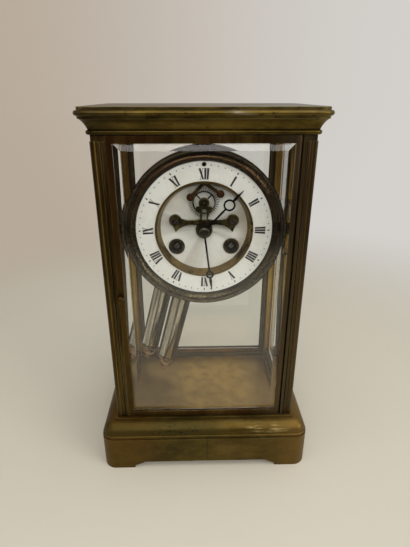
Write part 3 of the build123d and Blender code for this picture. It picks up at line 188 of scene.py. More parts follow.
# Grains are given as multiples of a metal's own scale, and ranges from none to full
agedWear = {
    "cloud": dict(scale=1.0, detail=6.0, rough=0.6), "broad": dict(scale=0.37, detail=3.0, rough=0.5),
    "mottle": dict(scale=4.5, detail=4.0, rough=0.6), "fine": dict(scale=14.0, detail=3.0, rough=0.6),
    "spots": dict(scale=5.0, detail=2.0, rough=0.7), "spotRange": (0.60, 0.72),
    "hollow": 3.0 * mm, "hollowRange": (0.85, 0.35), "grime": (0.008, 0.006, 0.003, 1), "grimeDull": 0.2,
    "edge": 0.9 * mm, "edgeRange": (0.995, 0.9), "edgeCloud": (0.35, 0.6),
    "rubShare": 0.5, "rubRange": (0.5, 0.7), "rubAmount": 0.45,
    "mottleShare": 0.38, "patchRange": (0.36, 0.64), "stainRange": (0.42, 0.62),
    "fineShare": 0.3, "dullRange": (0.3, 0.7), "fineHeight": 0.5, "spotHeight": 0.6,
}


# Old brass and steel: clouded tarnish, stains, pits, grime in the hollows and rubbed edges
def makeAgedMetal(wear):
    group, start, end = newGroup(
        "agedMetal",
        [("Tarnish", colourKind, (0.05, 0.03, 0.006, 1)), ("Body", colourKind, (0.13, 0.082, 0.015, 1)),
         ("Stain", colourKind, (0.11, 0.05, 0.012, 1)), ("Worn", colourKind, (0.42, 0.29, 0.10, 1)),
         ("Scale", floatKind, 40.0), ("Stretch", vectorKind, (1, 1, 1)), ("Stained", floatKind, 0.4),
         ("Wear", floatKind, 0.5), ("Grime", floatKind, 0.7), ("Smooth", floatKind, 0.26),
         ("Dull", floatKind, 0.48), ("Speckle", floatKind, 0.4)],
        [("Color", colourKind), ("Roughness", floatKind), ("Height", floatKind)])
    look = start.outputs
    place = objectPlace(group)
    drawn = vectorNode(group, "MULTIPLY", place, look["Stretch"])

    def grain(name, vector):
        scale = mathNode(group, "MULTIPLY", look["Scale"], wear[name]["scale"])
        return noise(group, vector, scale, wear[name]["detail"], wear[name]["rough"])

    cloud = grain("cloud", drawn)
    broad = grain("broad", drawn)
    mottle = grain("mottle", drawn)
    fine = grain("fine", place)
    spots = stretch(group, grain("spots", place), *wear["spotRange"])
    spots = mathNode(group, "MULTIPLY", spots, look["Speckle"])
    hollow = addNode(group, "ShaderNodeAmbientOcclusion", samples=8, only_local=False)
    hollow.inputs["Distance"].default_value = wear["hollow"]
    crevice = stretch(group, hollow.outputs["AO"], *wear["hollowRange"])
    crevice = mathNode(group, "MULTIPLY", crevice, look["Grime"], clamp=True)
    rounded = addNode(group, "ShaderNodeBevel", samples=6)
    rounded.inputs["Radius"].default_value = wear["edge"]
    facing = addNode(group, "ShaderNodeNewGeometry").outputs["Normal"]
    edge = stretch(group, vectorNode(group, "DOT_PRODUCT", rounded.outputs[0], facing), *wear["edgeRange"])
    edge = mathNode(group, "MULTIPLY", edge, mathNode(group, "SUBTRACT", 1.0, crevice, clamp=True))
    edge = mathNode(group, "MULTIPLY", edge, stretch(group, cloud, *wear["edgeCloud"]))
    rub = stretch(group, blendValues(group, broad, cloud, wear["rubShare"]), *wear["rubRange"])
    rub = mathNode(group, "MULTIPLY", rub, wear["rubAmount"])
    worn = mathNode(group, "MULTIPLY", mathNode(group, "MAXIMUM", edge, rub), look["Wear"], clamp=True)
    patch = stretch(group, blendValues(group, cloud, mottle, wear["mottleShare"]), *wear["patchRange"])
    stain = stretch(group, broad, *wear["stainRange"])
    stain = mathNode(group, "MULTIPLY", stain, look["Stained"], clamp=True)
    colour = mixColour(group, patch, look["Tarnish"], look["Body"])
    colour = mixColour(group, stain, colour, look["Stain"])
    colour = mixColour(group, worn, colour, look["Worn"])
    colour = mixColour(group, spots, colour, look["Tarnish"])
    colour = mixColour(group, crevice, colour, wear["grime"])
    group.links.new(colour, end.inputs["Color"])
    dull = blendValues(group, cloud, fine, wear["fineShare"])
    dull = stretch(group, dull, *wear["dullRange"], look["Smooth"], look["Dull"])
    dirt = mathNode(group, "MULTIPLY", crevice, wear["grimeDull"])
    dull = mathNode(group, "ADD", dull, dirt, clamp=True)
    group.links.new(dull, end.inputs["Roughness"])
    height = mathNode(group, "SUBTRACT", mathNode(group, "MULTIPLY", fine, wear["fineHeight"]),
                      mathNode(group, "MULTIPLY", spots, wear["spotHeight"]))
    group.links.new(height, end.inputs["Height"])
    return group


# Fine rings left by the lathe, round the dial's axis
def makeTurnedRings():
    group, start, end = newGroup("turnedRings", [("Pitch", floatKind, 2600.0), ("Depth", floatKind, 0.5)],
                                 [("Height", floatKind), ("Shade", floatKind)])
    radius = vectorNode(group, "LENGTH", flatFrom(group, dialX, dialZ))
    along = mathNode(group, "ADD", radius, splitVector(group, objectPlace(group))["Y"])
    ring = noise(group, joinVector(group, along), start.outputs["Pitch"], detail=3.0, rough=0.7)
    group.links.new(mathNode(group, "MULTIPLY", ring, start.outputs["Depth"]), end.inputs["Height"])
    group.links.new(ring, end.inputs["Shade"])
    return group


# Distances along the leaning pendulum rod and across it
def makeRodPlace():
    group, _, end = newGroup("rodPlace", [], [("Along", floatKind), ("Across", floatKind)])
    offset = vectorNode(group, "SUBTRACT", objectPlace(group), rodFoot)
    group.links.new(vectorNode(group, "DOT_PRODUCT", offset, rodAxis), end.inputs["Along"])
    group.links.new(vectorNode(group, "DOT_PRODUCT", offset, rodAcross), end.inputs["Across"])
    return group


agedMetal = makeAgedMetal(agedWear)
turnedRings = makeTurnedRings()
rodPlace = makeRodPlace()
print("shared effects ready")


# Metals

def newMaterial(name):
    material = bpy.data.materials.new(name)
    material.use_nodes = True
    tree = material.node_tree
    return material, tree, tree.nodes["Principled BSDF"]


# Bump over softly rounded edges
def roughen(tree, shader, height, look):
    rounded = addNode(tree, "ShaderNodeBevel", samples=4)
    rounded.inputs["Radius"].default_value = look["edge"]
    bump = addNode(tree, "ShaderNodeBump")
    bump.inputs["Strength"].default_value = look["strength"]
    bump.inputs["Distance"].default_value = look["depth"]
    tree.links.new(rounded.outputs[0], bump.inputs["Normal"])
    tree.links.new(height, bump.inputs["Height"])
    tree.links.new(bump.outputs[0], shader.inputs["Normal"])


metalLooks = {
    "baseBrass": dict(
        Tarnish=(0.044, 0.031, 0.005, 1), Body=(0.100, 0.070, 0.011, 1),
        Stain=(0.086, 0.048, 0.006, 1), Worn=(0.34, 0.25, 0.09, 1),
        Scale=60.0, Stretch=(0.6, 1, 1), Stained=0.5, Wear=0.35, Smooth=0.38, Dull=0.58, Speckle=0.7),
    "corniceBrass": dict(
        Tarnish=(0.036, 0.024, 0.004, 1), Body=(0.122, 0.081, 0.011, 1),
        Stain=(0.072, 0.042, 0.006, 1), Worn=(0.42, 0.36, 0.22, 1),
        Scale=64.0, Stretch=(0.35, 1, 1), Stained=0.5, Wear=0.4, Grime=1.0, Smooth=0.24, Dull=0.46,
        Speckle=1.0),
    "pillarBrass": dict(
        Tarnish=(0.024, 0.014, 0.003, 1), Body=(0.080, 0.056, 0.013, 1),
        Stain=(0.072, 0.030, 0.007, 1), Worn=(0.32, 0.25, 0.12, 1),
        Scale=300.0, Stretch=(1, 1, 0.05), Stained=0.7, Wear=0.4, Grime=1.0, Smooth=0.26, Dull=0.46,
        Speckle=0.3),
    "doorBrass": dict(
        Tarnish=(0.034, 0.017, 0.003, 1), Body=(0.074, 0.043, 0.007, 1),
        Stain=(0.072, 0.028, 0.007, 1), Worn=(0.36, 0.26, 0.11, 1),
        Scale=120.0, Stretch=(1, 1, 0.12), Stained=0.6, Wear=0.35, Smooth=0.28, Dull=0.48, Speckle=0.3),
    "railBrass": dict(
        Tarnish=(0.026, 0.015, 0.003, 1), Body=(0.080, 0.055, 0.012, 1),
        Stain=(0.072, 0.032, 0.007, 1), Worn=(0.32, 0.25, 0.12, 1),
        Scale=120.0, Stretch=(1, 0.1, 1), Stained=0.6, Wear=0.4, Smooth=0.26, Dull=0.46, Speckle=0.3),
    "backDoorBrass": dict(
        Tarnish=(0.085, 0.058, 0.024, 1), Body=(0.17, 0.115, 0.046, 1), Stain=(0.13, 0.08, 0.03, 1),
        Worn=(0.46, 0.33, 0.13, 1),
        Scale=40.0, Wear=0.4, Smooth=0.26, Dull=0.44, Speckle=0.2),
    "floorBrass": dict(
        Tarnish=(0.22, 0.130, 0.028, 1), Body=(0.41, 0.262, 0.060, 1), Stain=(0.33, 0.20, 0.046, 1),
        Worn=(0.52, 0.36, 0.11, 1),
        Scale=24.0, Stained=0.5, Wear=0.5, Smooth=0.3, Dull=0.5, Speckle=0.2),
    "fittingBrass": dict(
        Tarnish=(0.10, 0.06, 0.015, 1), Body=(0.28, 0.18, 0.05, 1), Worn=(0.56, 0.40, 0.15, 1),
        Scale=90.0, Wear=0.6, Smooth=0.22, Dull=0.42, Speckle=0.3),
    "bezelBronze": dict(
        Tarnish=(0.030, 0.020, 0.009, 1), Body=(0.098, 0.073, 0.036, 1),
        Stain=(0.070, 0.042, 0.018, 1), Worn=(0.40, 0.32, 0.15, 1),
        Scale=40.0, Wear=0.2, Grime=0.95, Smooth=0.2, Dull=0.34, Speckle=0.3),
    "sightBrass": dict(
        Tarnish=(0.145, 0.092, 0.026, 1), Body=(0.215, 0.140, 0.042, 1),
        Stain=(0.175, 0.108, 0.030, 1), Worn=(0.40, 0.29, 0.11, 1),
        Scale=24.0, Wear=0.2, Smooth=0.24, Dull=0.34, Speckle=0.0),
    "colletBrass": dict(
        Tarnish=(0.032, 0.024, 0.010, 1), Body=(0.115, 0.086, 0.036, 1), Stain=(0.05, 0.044, 0.02, 1),
        Worn=(0.46, 0.37, 0.19, 1),
        Scale=120.0, Wear=0.6, Grime=1.0, Smooth=0.18, Dull=0.36, Speckle=0.2),
    "cockBronze": dict(
        Tarnish=(0.034, 0.027, 0.010, 1), Body=(0.105, 0.084, 0.030, 1), Stain=(0.10, 0.066, 0.024, 1),
        Worn=(0.46, 0.38, 0.17, 1),
        Scale=110.0, Wear=0.8, Grime=0.9, Smooth=0.2, Dull=0.38, Speckle=0.3),
    "nutBronze": dict(
        Tarnish=(0.050, 0.042, 0.032, 1), Body=(0.16, 0.14, 0.11, 1), Stain=(0.09, 0.065, 0.045, 1),
        Worn=(0.60, 0.53, 0.42, 1),
        Scale=150.0, Wear=0.5, Grime=0.8, Smooth=0.08, Dull=0.2, Speckle=0.3),
    "darkSteel": dict(
        Tarnish=(0.035, 0.03, 0.026, 1), Body=(0.11, 0.10, 0.09, 1), Stain=(0.09, 0.075, 0.06, 1),
        Worn=(0.38, 0.36, 0.32, 1),
        Scale=120.0, Wear=0.5, Grime=0.6, Smooth=0.22, Dull=0.42, Speckle=0.25),
    "screwSteel": dict(
        Tarnish=(0.022, 0.017, 0.018, 1), Body=(0.065, 0.052, 0.056, 1), Stain=(0.05, 0.04, 0.045, 1),
        Worn=(0.28, 0.25, 0.25, 1),
        Scale=160.0, Wear=0.4, Smooth=0.2, Dull=0.36, Speckle=0.2),
    "anchorSteel": dict(
        Tarnish=(0.022, 0.013, 0.005, 1), Body=(0.064, 0.039, 0.013, 1),
        Stain=(0.046, 0.026, 0.008, 1), Worn=(0.24, 0.16, 0.06, 1),
        Scale=120.0, Wear=0.4, Grime=0.5, Smooth=0.26, Dull=0.46, Speckle=0.25),
    "bluedSteel": dict(
        Tarnish=(0.005, 0.005, 0.008, 1), Body=(0.014, 0.014, 0.022, 1),
        Stain=(0.012, 0.010, 0.010, 1), Worn=(0.10, 0.10, 0.11, 1),
        Scale=150.0, Wear=0.25, Grime=0.2, Smooth=0.16, Dull=0.3, Speckle=0.2),
    "movementBrass": dict(
        Tarnish=(0.26, 0.165, 0.05, 1), Body=(0.48, 0.33, 0.12, 1), Stain=(0.40, 0.26, 0.085, 1),
        Worn=(0.66, 0.49, 0.21, 1),
        Scale=60.0, Wear=0.5, Grime=0.6, Smooth=0.2, Dull=0.38, Speckle=0.2),
    "bellMetal": dict(
        Tarnish=(0.20, 0.145, 0.07, 1), Body=(0.42, 0.32, 0.16, 1), Stain=(0.34, 0.25, 0.12, 1),
        Worn=(0.6, 0.48, 0.27, 1),
        Scale=50.0, Wear=0.4, Grime=0.5, Smooth=0.16, Dull=0.32, Speckle=0.3),
    "wheelSteel": dict(
        Tarnish=(0.012, 0.011, 0.009, 1), Body=(0.045, 0.040, 0.032, 1), Stain=(0.03, 0.026, 0.02, 1),
        Worn=(0.14, 0.13, 0.11, 1),
        Scale=150.0, Wear=0.3, Grime=0.8, Smooth=0.2, Dull=0.36, Speckle=0.2),
    "arborSteel": dict(
        Tarnish=(0.06, 0.056, 0.055, 1), Body=(0.15, 0.143, 0.142, 1), Stain=(0.11, 0.10, 0.098, 1),
        Worn=(0.42, 0.41, 0.40, 1),
        Scale=150.0, Wear=0.7, Grime=0.9, Smooth=0.16, Dull=0.32, Speckle=0.2),
    "pendulumBrass": dict(
        Tarnish=(0.13, 0.065, 0.02, 1), Body=(0.38, 0.21, 0.075, 1), Stain=(0.30, 0.14, 0.05, 1),
        Worn=(0.70, 0.49, 0.22, 1),
        Scale=80.0, Wear=0.7, Grime=0.7, Smooth=0.18, Dull=0.34, Speckle=0.2),
}
metalSurface = {"strength": 0.35, "depth": 0.15 * mm, "edge": 0.25 * mm}
# Where tarnish hides the bright metal, part of the surface is dull rather than mirror-like
dulledMetal = {"baseBrass": 0.88, "corniceBrass": 0.9, "pillarBrass": 0.9, "railBrass": 0.9,
               "doorBrass": 0.9, "bezelBronze": 0.9, "floorBrass": 0.9}


def placeMetal(tree, values):
    look = addNode(tree, "ShaderNodeGroup", node_tree=agedMetal)
    for key, value in values.items():
        look.inputs[key].default_value = value
    return look


# Slow changes of tone along a piece, from start to full
drifts = {
    "baseBrass": [
        dict(axis="X", start=-22 * mm, full=-62 * mm, tint=(0.125, 0.060, 0.008, 1), amount=0.45),
        dict(axis="X", start=46 * mm, full=76 * mm, tint=(0.20, 0.115, 0.028, 1), amount=0.5)],
    "bezelBronze": [
        dict(axis="Z", start=dialZ, full=dialZ + 50 * mm, tint=(0.078, 0.034, 0.012, 1), amount=0.7),
        dict(axis="Z", start=dialZ - 10 * mm, full=dialZ - 50 * mm, tint=(0.074, 0.066, 0.041, 1),
             amount=0.6)],
    # painted light: the right-hand pillars paler and greyer, as lit from the right
    "pillarBrass": [
        dict(axis="X", start=30 * mm, full=60 * mm, tint=(0.070, 0.057, 0.032, 1), amount=0.55)],
    # painted light: the right of the door frame paler and greyer, as lit from the right
    "doorBrass": [
        dict(axis="X", start=30 * mm, full=56 * mm, tint=(0.066, 0.052, 0.030, 1), amount=0.55)],
    "floorBrass": [
        dict(axis="X", start=-8 * mm, full=-40 * mm, tint=(0.235, 0.155, 0.050, 1), amount=0.6),
        dict(axis="X", start=30 * mm, full=56 * mm, tint=(0.27, 0.185, 0.072, 1), amount=0.5)],
    "pendulumBrass": [
        dict(axis="Along", start=-92 * mm, full=-87 * mm, tint=(0.045, 0.036, 0.022, 1), amount=0.9)],
}


def driftTint(tree, colour, drift):
    if drift["axis"] == "Along":
        value = addNode(tree, "ShaderNodeGroup", node_tree=rodPlace).outputs["Along"]
    else:
        value = splitVector(tree, objectPlace(tree))[drift["axis"]]
    amount = stretch(tree, value, drift["start"], drift["full"])
    return mixColour(tree, mathNode(tree, "MULTIPLY", amount, drift["amount"]), colour, drift["tint"])


# Faces of the pillars and rails that look into the case kept their gold colour
insideGold = {
    "pieces": ("pillarBrass", "railBrass"), "turn": (0.1, -0.25),
    "look": dict(Tarnish=(0.20, 0.115, 0.017, 1), Body=(0.48, 0.295, 0.045, 1),
                 Stain=(0.30, 0.16, 0.026, 1), Worn=(0.64, 0.44, 0.13, 1), Wear=0.6),
    "high": dict(axis="Z", start=150 * mm, full=250 * mm, tint=(0.22, 0.115, 0.025, 1), amount=0.6),
}


# One on faces turned towards the middle of the case, nought on those turned away
def facingIn(tree, turn):
    outward = vectorNode(tree, "NORMALIZE", vectorNode(tree, "MULTIPLY", objectPlace(tree), (1, 1, 0)))
    normal = addNode(tree, "ShaderNodeNewGeometry").outputs["Normal"]
    return stretch(tree, vectorNode(tree, "DOT_PRODUCT", outward, normal), *turn)


# Pitch and depth of the lathe's rings, and how dark their lines are
turnedLooks = {
    "bezelBronze": dict(Pitch=1700.0, Depth=1.6, lines=0.8),
    "sightBrass": dict(Pitch=2600.0, Depth=0.12, lines=0.15),
    "colletBrass": dict(Pitch=2600.0, Depth=0.4, lines=0.5),
    "bellMetal": dict(Pitch=2600.0, Depth=0.4, lines=0.4),
}
turnedRange = (0.60, 0.40)

# Spots on the front where handling has rubbed a piece bright, some with a painted highlight, and patches of
# painted shade
wearAndLightSpots = {
    "baseBrass": [
        # painted shade: the left of the moulding darker, where it mirrors little light
        dict(x=(-90 * mm, 12 * mm), z=(32 * mm, 40 * mm), soft=12 * mm, run=(0.4, 1, 1), grain=60.0,
             tint=(0.044, 0.033, 0.006, 1), amount=0.75, full=0.40),
        # bright rubbed metal with a painted highlight on the right of the moulding
        dict(x=(36 * mm, 64 * mm), z=(33 * mm, 39 * mm), soft=10 * mm, run=(0.16, 1, 1), grain=420.0,
             tint=(0.62, 0.47, 0.20, 1), amount=0.5, full=0.72)],
    "corniceBrass": [
        # worn silver streak with a painted highlight on the middle of the bead
        dict(x=(13 * mm, 28 * mm), z=(269.6 * mm, 271.4 * mm), soft=5 * mm, run=(0.08, 1, 1), grain=420.0,
             tint=(0.60, 0.56, 0.45, 1), amount=0.42, full=0.60),
        # painted shade at the left end of the cornice
        dict(x=(-90 * mm, -52 * mm), z=(257 * mm, 272 * mm), soft=12 * mm, run=(1, 1, 1), grain=80.0,
             tint=(0.020, 0.014, 0.004, 1), amount=0.6, full=0.40)],
    "bezelBronze": [
        dict(x=(-14 * mm, 0), z=(dialZ - 51.5 * mm, dialZ - 48.5 * mm), soft=4 * mm, run=(0.3, 1, 1),
             grain=900.0, tint=(0.40, 0.35, 0.13, 1), amount=0.6, full=0.68)],
}
spotEdge = {"up": 1.5 * mm, "front": (-20 * mm, -30 * mm), "smear": 0.22}


# Paints one spot of rubbed wear, painted highlight or painted shade, as its tint gives
def paintWearAndLight(tree, colour, spot):
    place = objectPlace(tree)
    x, y, z = splitVector(tree, place)
    drawn = vectorNode(tree, "MULTIPLY", place, spot["run"])
    smear = noise(tree, drawn, spot["grain"], detail=3.0, rough=0.6)
    rub = stretch(tree, smear, spot["full"] - spotEdge["smear"], spot["full"])
    rub = mathNode(tree, "MULTIPLY", rub, between(tree, x, *spot["x"], spot["soft"]))
    rub = mathNode(tree, "MULTIPLY", rub, between(tree, z, *spot["z"], spotEdge["up"]))
    rub = mathNode(tree, "MULTIPLY", rub, stretch(tree, y, *spotEdge["front"], 0.0, spot["amount"]))
    return mixColour(tree, rub, colour, spot["tint"])


# Marks that only the base carries: a soldered seam in its front and pits on its moulding
baseWear = {
    "seam": 1.6 * mm, "seamHalf": 0.3 * mm, "seamTop": 31 * mm, "seamFade": 2 * mm,
    "seamDepth": (baseFront + 6 * mm, baseFront + 5 * mm), "wander": 1.2 * mm, "wanderScale": 260.0,
    "moulding": (33 * mm, 39 * mm), "mouldingSoft": 1.5 * mm, "front": (0.0, baseFront / 2),
    "pitsAcross": (-48 * mm, 6 * mm), "pitsSoft": 6 * mm, "pitScale": 420.0, "pitRange": (0.60, 0.66),
    "dark": (0.012, 0.010, 0.006, 1),
}


def baseMarks(tree, colour, wear):
    place = objectPlace(tree)
    x, y, z = splitVector(tree, place)
    wander = mathNode(tree, "SUBTRACT", noise(tree, place, wear["wanderScale"]), 0.5)
    wander = mathNode(tree, "ADD", x, mathNode(tree, "MULTIPLY", wander, wear["wander"]))
    off = mathNode(tree, "ABSOLUTE", mathNode(tree, "SUBTRACT", wander, wear["seam"]))
    seam = stretch(tree, off, wear["seamHalf"], 0.0)
    below = stretch(tree, z, wear["seamTop"], wear["seamTop"] - wear["seamFade"])
    seam = mathNode(tree, "MULTIPLY", seam, below)
    seam = mathNode(tree, "MULTIPLY", seam, stretch(tree, y, *wear["seamDepth"]))
    grain = noise(tree, place, wear["pitScale"], detail=2.0, rough=0.6)
    pits = stretch(tree, grain, *wear["pitRange"])
    pits = mathNode(tree, "MULTIPLY", pits, between(tree, z, *wear["moulding"], wear["mouldingSoft"]))
    pits = mathNode(tree, "MULTIPLY", pits, between(tree, x, *wear["pitsAcross"], wear["pitsSoft"]))
    pits = mathNode(tree, "MULTIPLY", pits, stretch(tree, y, *wear["front"]))
    return mixColour(tree, mathNode(tree, "MAXIMUM", seam, pits), colour, wear["dark"])


# Rings of painted light and shade, by radius
lightAndShadeRings = {
    # painted shade on the lip, painted shade in the groove at the step, painted highlight on the flange,
    # painted shade on the outer edge
    "bezelBronze": dict(centreX=dialX, centreZ=dialZ, bands=[
        dict(inner=46.8 * mm, outer=48.4 * mm, tint=(0.016, 0.012, 0.007, 1), amount=0.8),
        dict(inner=52.6 * mm, outer=53.3 * mm, tint=(0.010, 0.008, 0.005, 1), amount=0.9),
        dict(inner=53.6 * mm, outer=55.0 * mm, tint=(0.17, 0.14, 0.092, 1), amount=0.6),
        dict(inner=55.4 * mm, outer=57.0 * mm, tint=(0.014, 0.011, 0.007, 1), amount=0.8)]),
    # painted shade: the dark throat of each winding hole
    "colletBrass": dict(centreX=dialX, centreZ=colletZ, apart=colletApart, bands=[
        dict(inner=0.0, outer=4.1 * mm, tint=(0.006, 0.005, 0.004, 1), amount=0.95)]),
    # painted shade: the oil sink round the escape wheel's pivot, dark as a recess
    "cockBronze": dict(centreX=wheelAxis.x, centreZ=wheelAxis.z, bands=[
        dict(inner=0.9 * mm, outer=2.3 * mm, tint=(0.010, 0.008, 0.005, 1), amount=0.85)]),
}
ringSoft = 0.2 * mm


# Bands round a centre, or round two centres set apart to the left and right
def ringBands(tree, colour, centreX, centreZ, bands, apart=0.0):
    sides = vectorNode(tree, "ABSOLUTE", flatFrom(tree, centreX, centreZ))
    radius = vectorNode(tree, "LENGTH", vectorNode(tree, "SUBTRACT", sides, (apart, 0, 0)))
    for band in bands:
        amount = between(tree, radius, band["inner"], band["outer"], ringSoft)
        colour = mixColour(tree, mathNode(tree, "MULTIPLY", amount, band["amount"]), colour, band["tint"])
    return colour


def metalMaterial(name):
    material, tree, shader = newMaterial(name)
    look = placeMetal(tree, metalLooks[name])
    colour = look.outputs["Color"]
    height = look.outputs["Height"]
    for drift in drifts.get(name, []):
        colour = driftTint(tree, colour, drift)
    if name in insideGold["pieces"]:
        inside = placeMetal(tree, {**metalLooks[name], **insideGold["look"]}).outputs["Color"]
        inside = driftTint(tree, inside, insideGold["high"])
        colour = mixColour(tree, facingIn(tree, insideGold["turn"]), colour, inside)
    if name in turnedLooks:
        turned = turnedLooks[name]
        rings = addNode(tree, "ShaderNodeGroup", node_tree=turnedRings)
        for key in ("Pitch", "Depth"):
            rings.inputs[key].default_value = turned[key]
        height = mathNode(tree, "ADD", height, rings.outputs["Height"])
        lines = stretch(tree, rings.outputs["Shade"], *turnedRange, 0.0, turned["lines"])
        colour = mixColour(tree, lines, colour, metalLooks[name]["Tarnish"])
    for spot in wearAndLightSpots.get(name, []):
        colour = paintWearAndLight(tree, colour, spot)
    if name == "baseBrass":
        colour = baseMarks(tree, colour, baseWear)
    if name in lightAndShadeRings:
        colour = ringBands(tree, colour, **lightAndShadeRings[name])
    tree.links.new(colour, shader.inputs["Base Color"])
    tree.links.new(look.outputs["Roughness"], shader.inputs["Roughness"])
    shader.inputs["Metallic"].default_value = dulledMetal.get(name, 1.0)
    roughen(tree, shader, height, metalSurface)
    return material


# Enamel, glass, ruby, mercury and ink

enamelLooks = {
    "chapterEnamel": dict(light=(0.73, 0.715, 0.675, 1), stain=(0.67, 0.64, 0.575, 1),
                          scale=30.0, reflectionFans=0.0),
    "centreEnamel": dict(light=(0.72, 0.705, 0.655, 1), stain=(0.60, 0.565, 0.495, 1),
                         scale=45.0, reflectionFans=0.7),
}
enamelAge = {
    "stainRange": (0.42, 0.72), "fan": 1.9, "fanRange": (0.45, 0.62), "fanTint": (0.46, 0.425, 0.37, 1),
    "reflectionAcross": (dialX + 20 * mm, dialX + 33 * mm), "reflectionAmount": 0.6, "reflectionTint": (0.36, 0.27, 0.17, 1),
    "speck": 40, "speckRange": (0.74, 0.80), "speckAmount": 0.35, "speckTint": (0.30, 0.26, 0.20, 1),
    "glossRange": (0.3, 0.7), "gloss": (0.18, 0.32), "coat": 0.4, "coatRoughness": 0.06,
}
enamelSurface = {"strength": 0.12, "depth": 0.2 * mm, "edge": 0.3 * mm}


def enamelMaterial(name, age):
    look = enamelLooks[name]
    material, tree, shader = newMaterial(name)
    place = objectPlace(tree)
    cloud = noise(tree, place, look["scale"], detail=4.0, rough=0.6)
    fine = noise(tree, place, look["scale"] * age["speck"], detail=2.0, rough=0.5)
    colour = mixColour(tree, stretch(tree, cloud, *age["stainRange"]), look["light"], look["stain"])
    if look["reflectionFans"]:
        # painted reflections: fans of soft shade that spread from the middle, as on a polished centre
        spoke = vectorNode(tree, "NORMALIZE", flatFrom(tree, dialX, dialZ))
        fan = stretch(tree, noise(tree, spoke, age["fan"], detail=2.0, rough=0.5), *age["fanRange"])
        colour = mixColour(tree, mathNode(tree, "MULTIPLY", fan, look["reflectionFans"]), colour, age["fanTint"])
        # painted reflection of the brass sight ring: a brown tint towards the right edge of the centre
        rim = stretch(tree, splitVector(tree, place)["X"], *age["reflectionAcross"], 0.0, age["reflectionAmount"])
        colour = mixColour(tree, rim, colour, age["reflectionTint"])
    specks = mathNode(tree, "MULTIPLY", stretch(tree, fine, *age["speckRange"]), age["speckAmount"])
    colour = mixColour(tree, specks, colour, age["speckTint"])
    tree.links.new(colour, shader.inputs["Base Color"])
    tree.links.new(stretch(tree, cloud, *age["glossRange"], *age["gloss"]), shader.inputs["Roughness"])
    shader.inputs["Coat Weight"].default_value = age["coat"]
    shader.inputs["Coat Roughness"].default_value = age["coatRoughness"]
    roughen(tree, shader, cloud, enamelSurface)
    return material


glassLooks = {
    "paneGlass": dict(tint=(0.97, 0.985, 0.975, 1), roughness=0.0),
    "vialGlass": dict(tint=(0.90, 0.895, 0.85, 1), roughness=0.02),
}
oldGlass = {"bending": 1.5, "ripple": 14.0, "strength": 0.02, "depth": 0.5 * mm,
            "shadow": (0.92, 0.93, 0.92, 1)}


# Glass lets the lamps through, so that what stands inside is lit
def glassMaterial(name, old):
    look = glassLooks[name]
    material, tree, shader = newMaterial(name)
    shader.inputs["Base Color"].default_value = look["tint"]
    shader.inputs["Roughness"].default_value = look["roughness"]
    shader.inputs["Transmission Weight"].default_value = 1.0
    shader.inputs["IOR"].default_value = old["bending"]
    bump = addNode(tree, "ShaderNodeBump")
    bump.inputs["Strength"].default_value = old["strength"]
    bump.inputs["Distance"].default_value = old["depth"]
    ripple = noise(tree, objectPlace(tree), old["ripple"], detail=2.0, rough=0.4)
    tree.links.new(ripple, bump.inputs["Height"])
    tree.links.new(bump.outputs[0], shader.inputs["Normal"])
    clear = addNode(tree, "ShaderNodeBsdfTransparent")
    clear.inputs["Color"].default_value = old["shadow"]
    path = addNode(tree, "ShaderNodeLightPath")
    mix = mixShader(tree, path.outputs["Is Shadow Ray"], shader.outputs[0], clear.outputs[0])
    tree.links.new(mix, tree.nodes["Material Output"].inputs["Surface"])
    return material


rubyLook = {"dark": (0.014, 0.003, 0.002, 1), "light": (0.070, 0.011, 0.005, 1), "scale": 900.0,
            "roughness": 0.12, "coat": 0.25, "coatRoughness": 0.05}
inkLook = {"dark": (0.004, 0.004, 0.005, 1), "light": (0.016, 0.015, 0.014, 1), "scale": 600.0,
           "roughness": 0.35, "coat": 0.0, "coatRoughness": 0.03}


# A plain surface, clouded between two tones
def cloudedMaterial(name, look):
    material, tree, shader = newMaterial(name)
    cloud = noise(tree, objectPlace(tree), look["scale"], detail=3.0, rough=0.6)
    tree.links.new(mixColour(tree, cloud, look["dark"], look["light"]), shader.inputs["Base Color"])
    shader.inputs["Roughness"].default_value = look["roughness"]
    shader.inputs["Coat Weight"].default_value = look["coat"]
    shader.inputs["Coat Roughness"].default_value = look["coatRoughness"]
    return material


mercuryLook = {
    "dark": (0.07, 0.06, 0.046, 1), "light": (0.64, 0.57, 0.46, 1), "run": 0.012, "gloss": (0.34, 0.16),
    "stripe": 330.0, "stripeRange": (0.42, 0.58), "thread": 1000.0, "threadRange": (0.40, 0.60),
    "threadsBelow": -52 * mm, "threadsSoft": 1 * mm, "threadShares": (0.15, 0.6),
}


# Liquid metal behind glass: the light and dark stripes along the vial are painted reflections, and the
# darker stripes are also rougher
def mercuryMaterial(look):
    material, tree, shader = newMaterial("mercury")
    rod = addNode(tree, "ShaderNodeGroup", node_tree=rodPlace).outputs
    line = joinVector(tree, rod["Across"], mathNode(tree, "MULTIPLY", rod["Along"], look["run"]))
    stripe = stretch(tree, noise(tree, line, look["stripe"], detail=2.0, rough=0.5), *look["stripeRange"])
    thread = stretch(tree, noise(tree, line, look["thread"], detail=1.0, rough=0.5), *look["threadRange"])
    start, soft = look["threadsBelow"], look["threadsSoft"]
    below = stretch(tree, rod["Along"], start + soft, start - soft, *look["threadShares"])
    shade = blendValues(tree, stripe, thread, below)
    tree.links.new(mixColour(tree, shade, look["dark"], look["light"]), shader.inputs["Base Color"])
    tree.links.new(stretch(tree, stripe, 0.0, 1.0, *look["gloss"]), shader.inputs["Roughness"])
    shader.inputs["Metallic"].default_value = 1.0
    return material


materials = {name: metalMaterial(name) for name in metalLooks}
materials.update({name: enamelMaterial(name, enamelAge) for name in enamelLooks})
materials.update({name: glassMaterial(name, oldGlass) for name in glassLooks})
materials["palletRuby"] = cloudedMaterial("palletRuby", rubyLook)
materials["mercury"] = mercuryMaterial(mercuryLook)
materials["numeralInk"] = cloudedMaterial("numeralInk", inkLook)

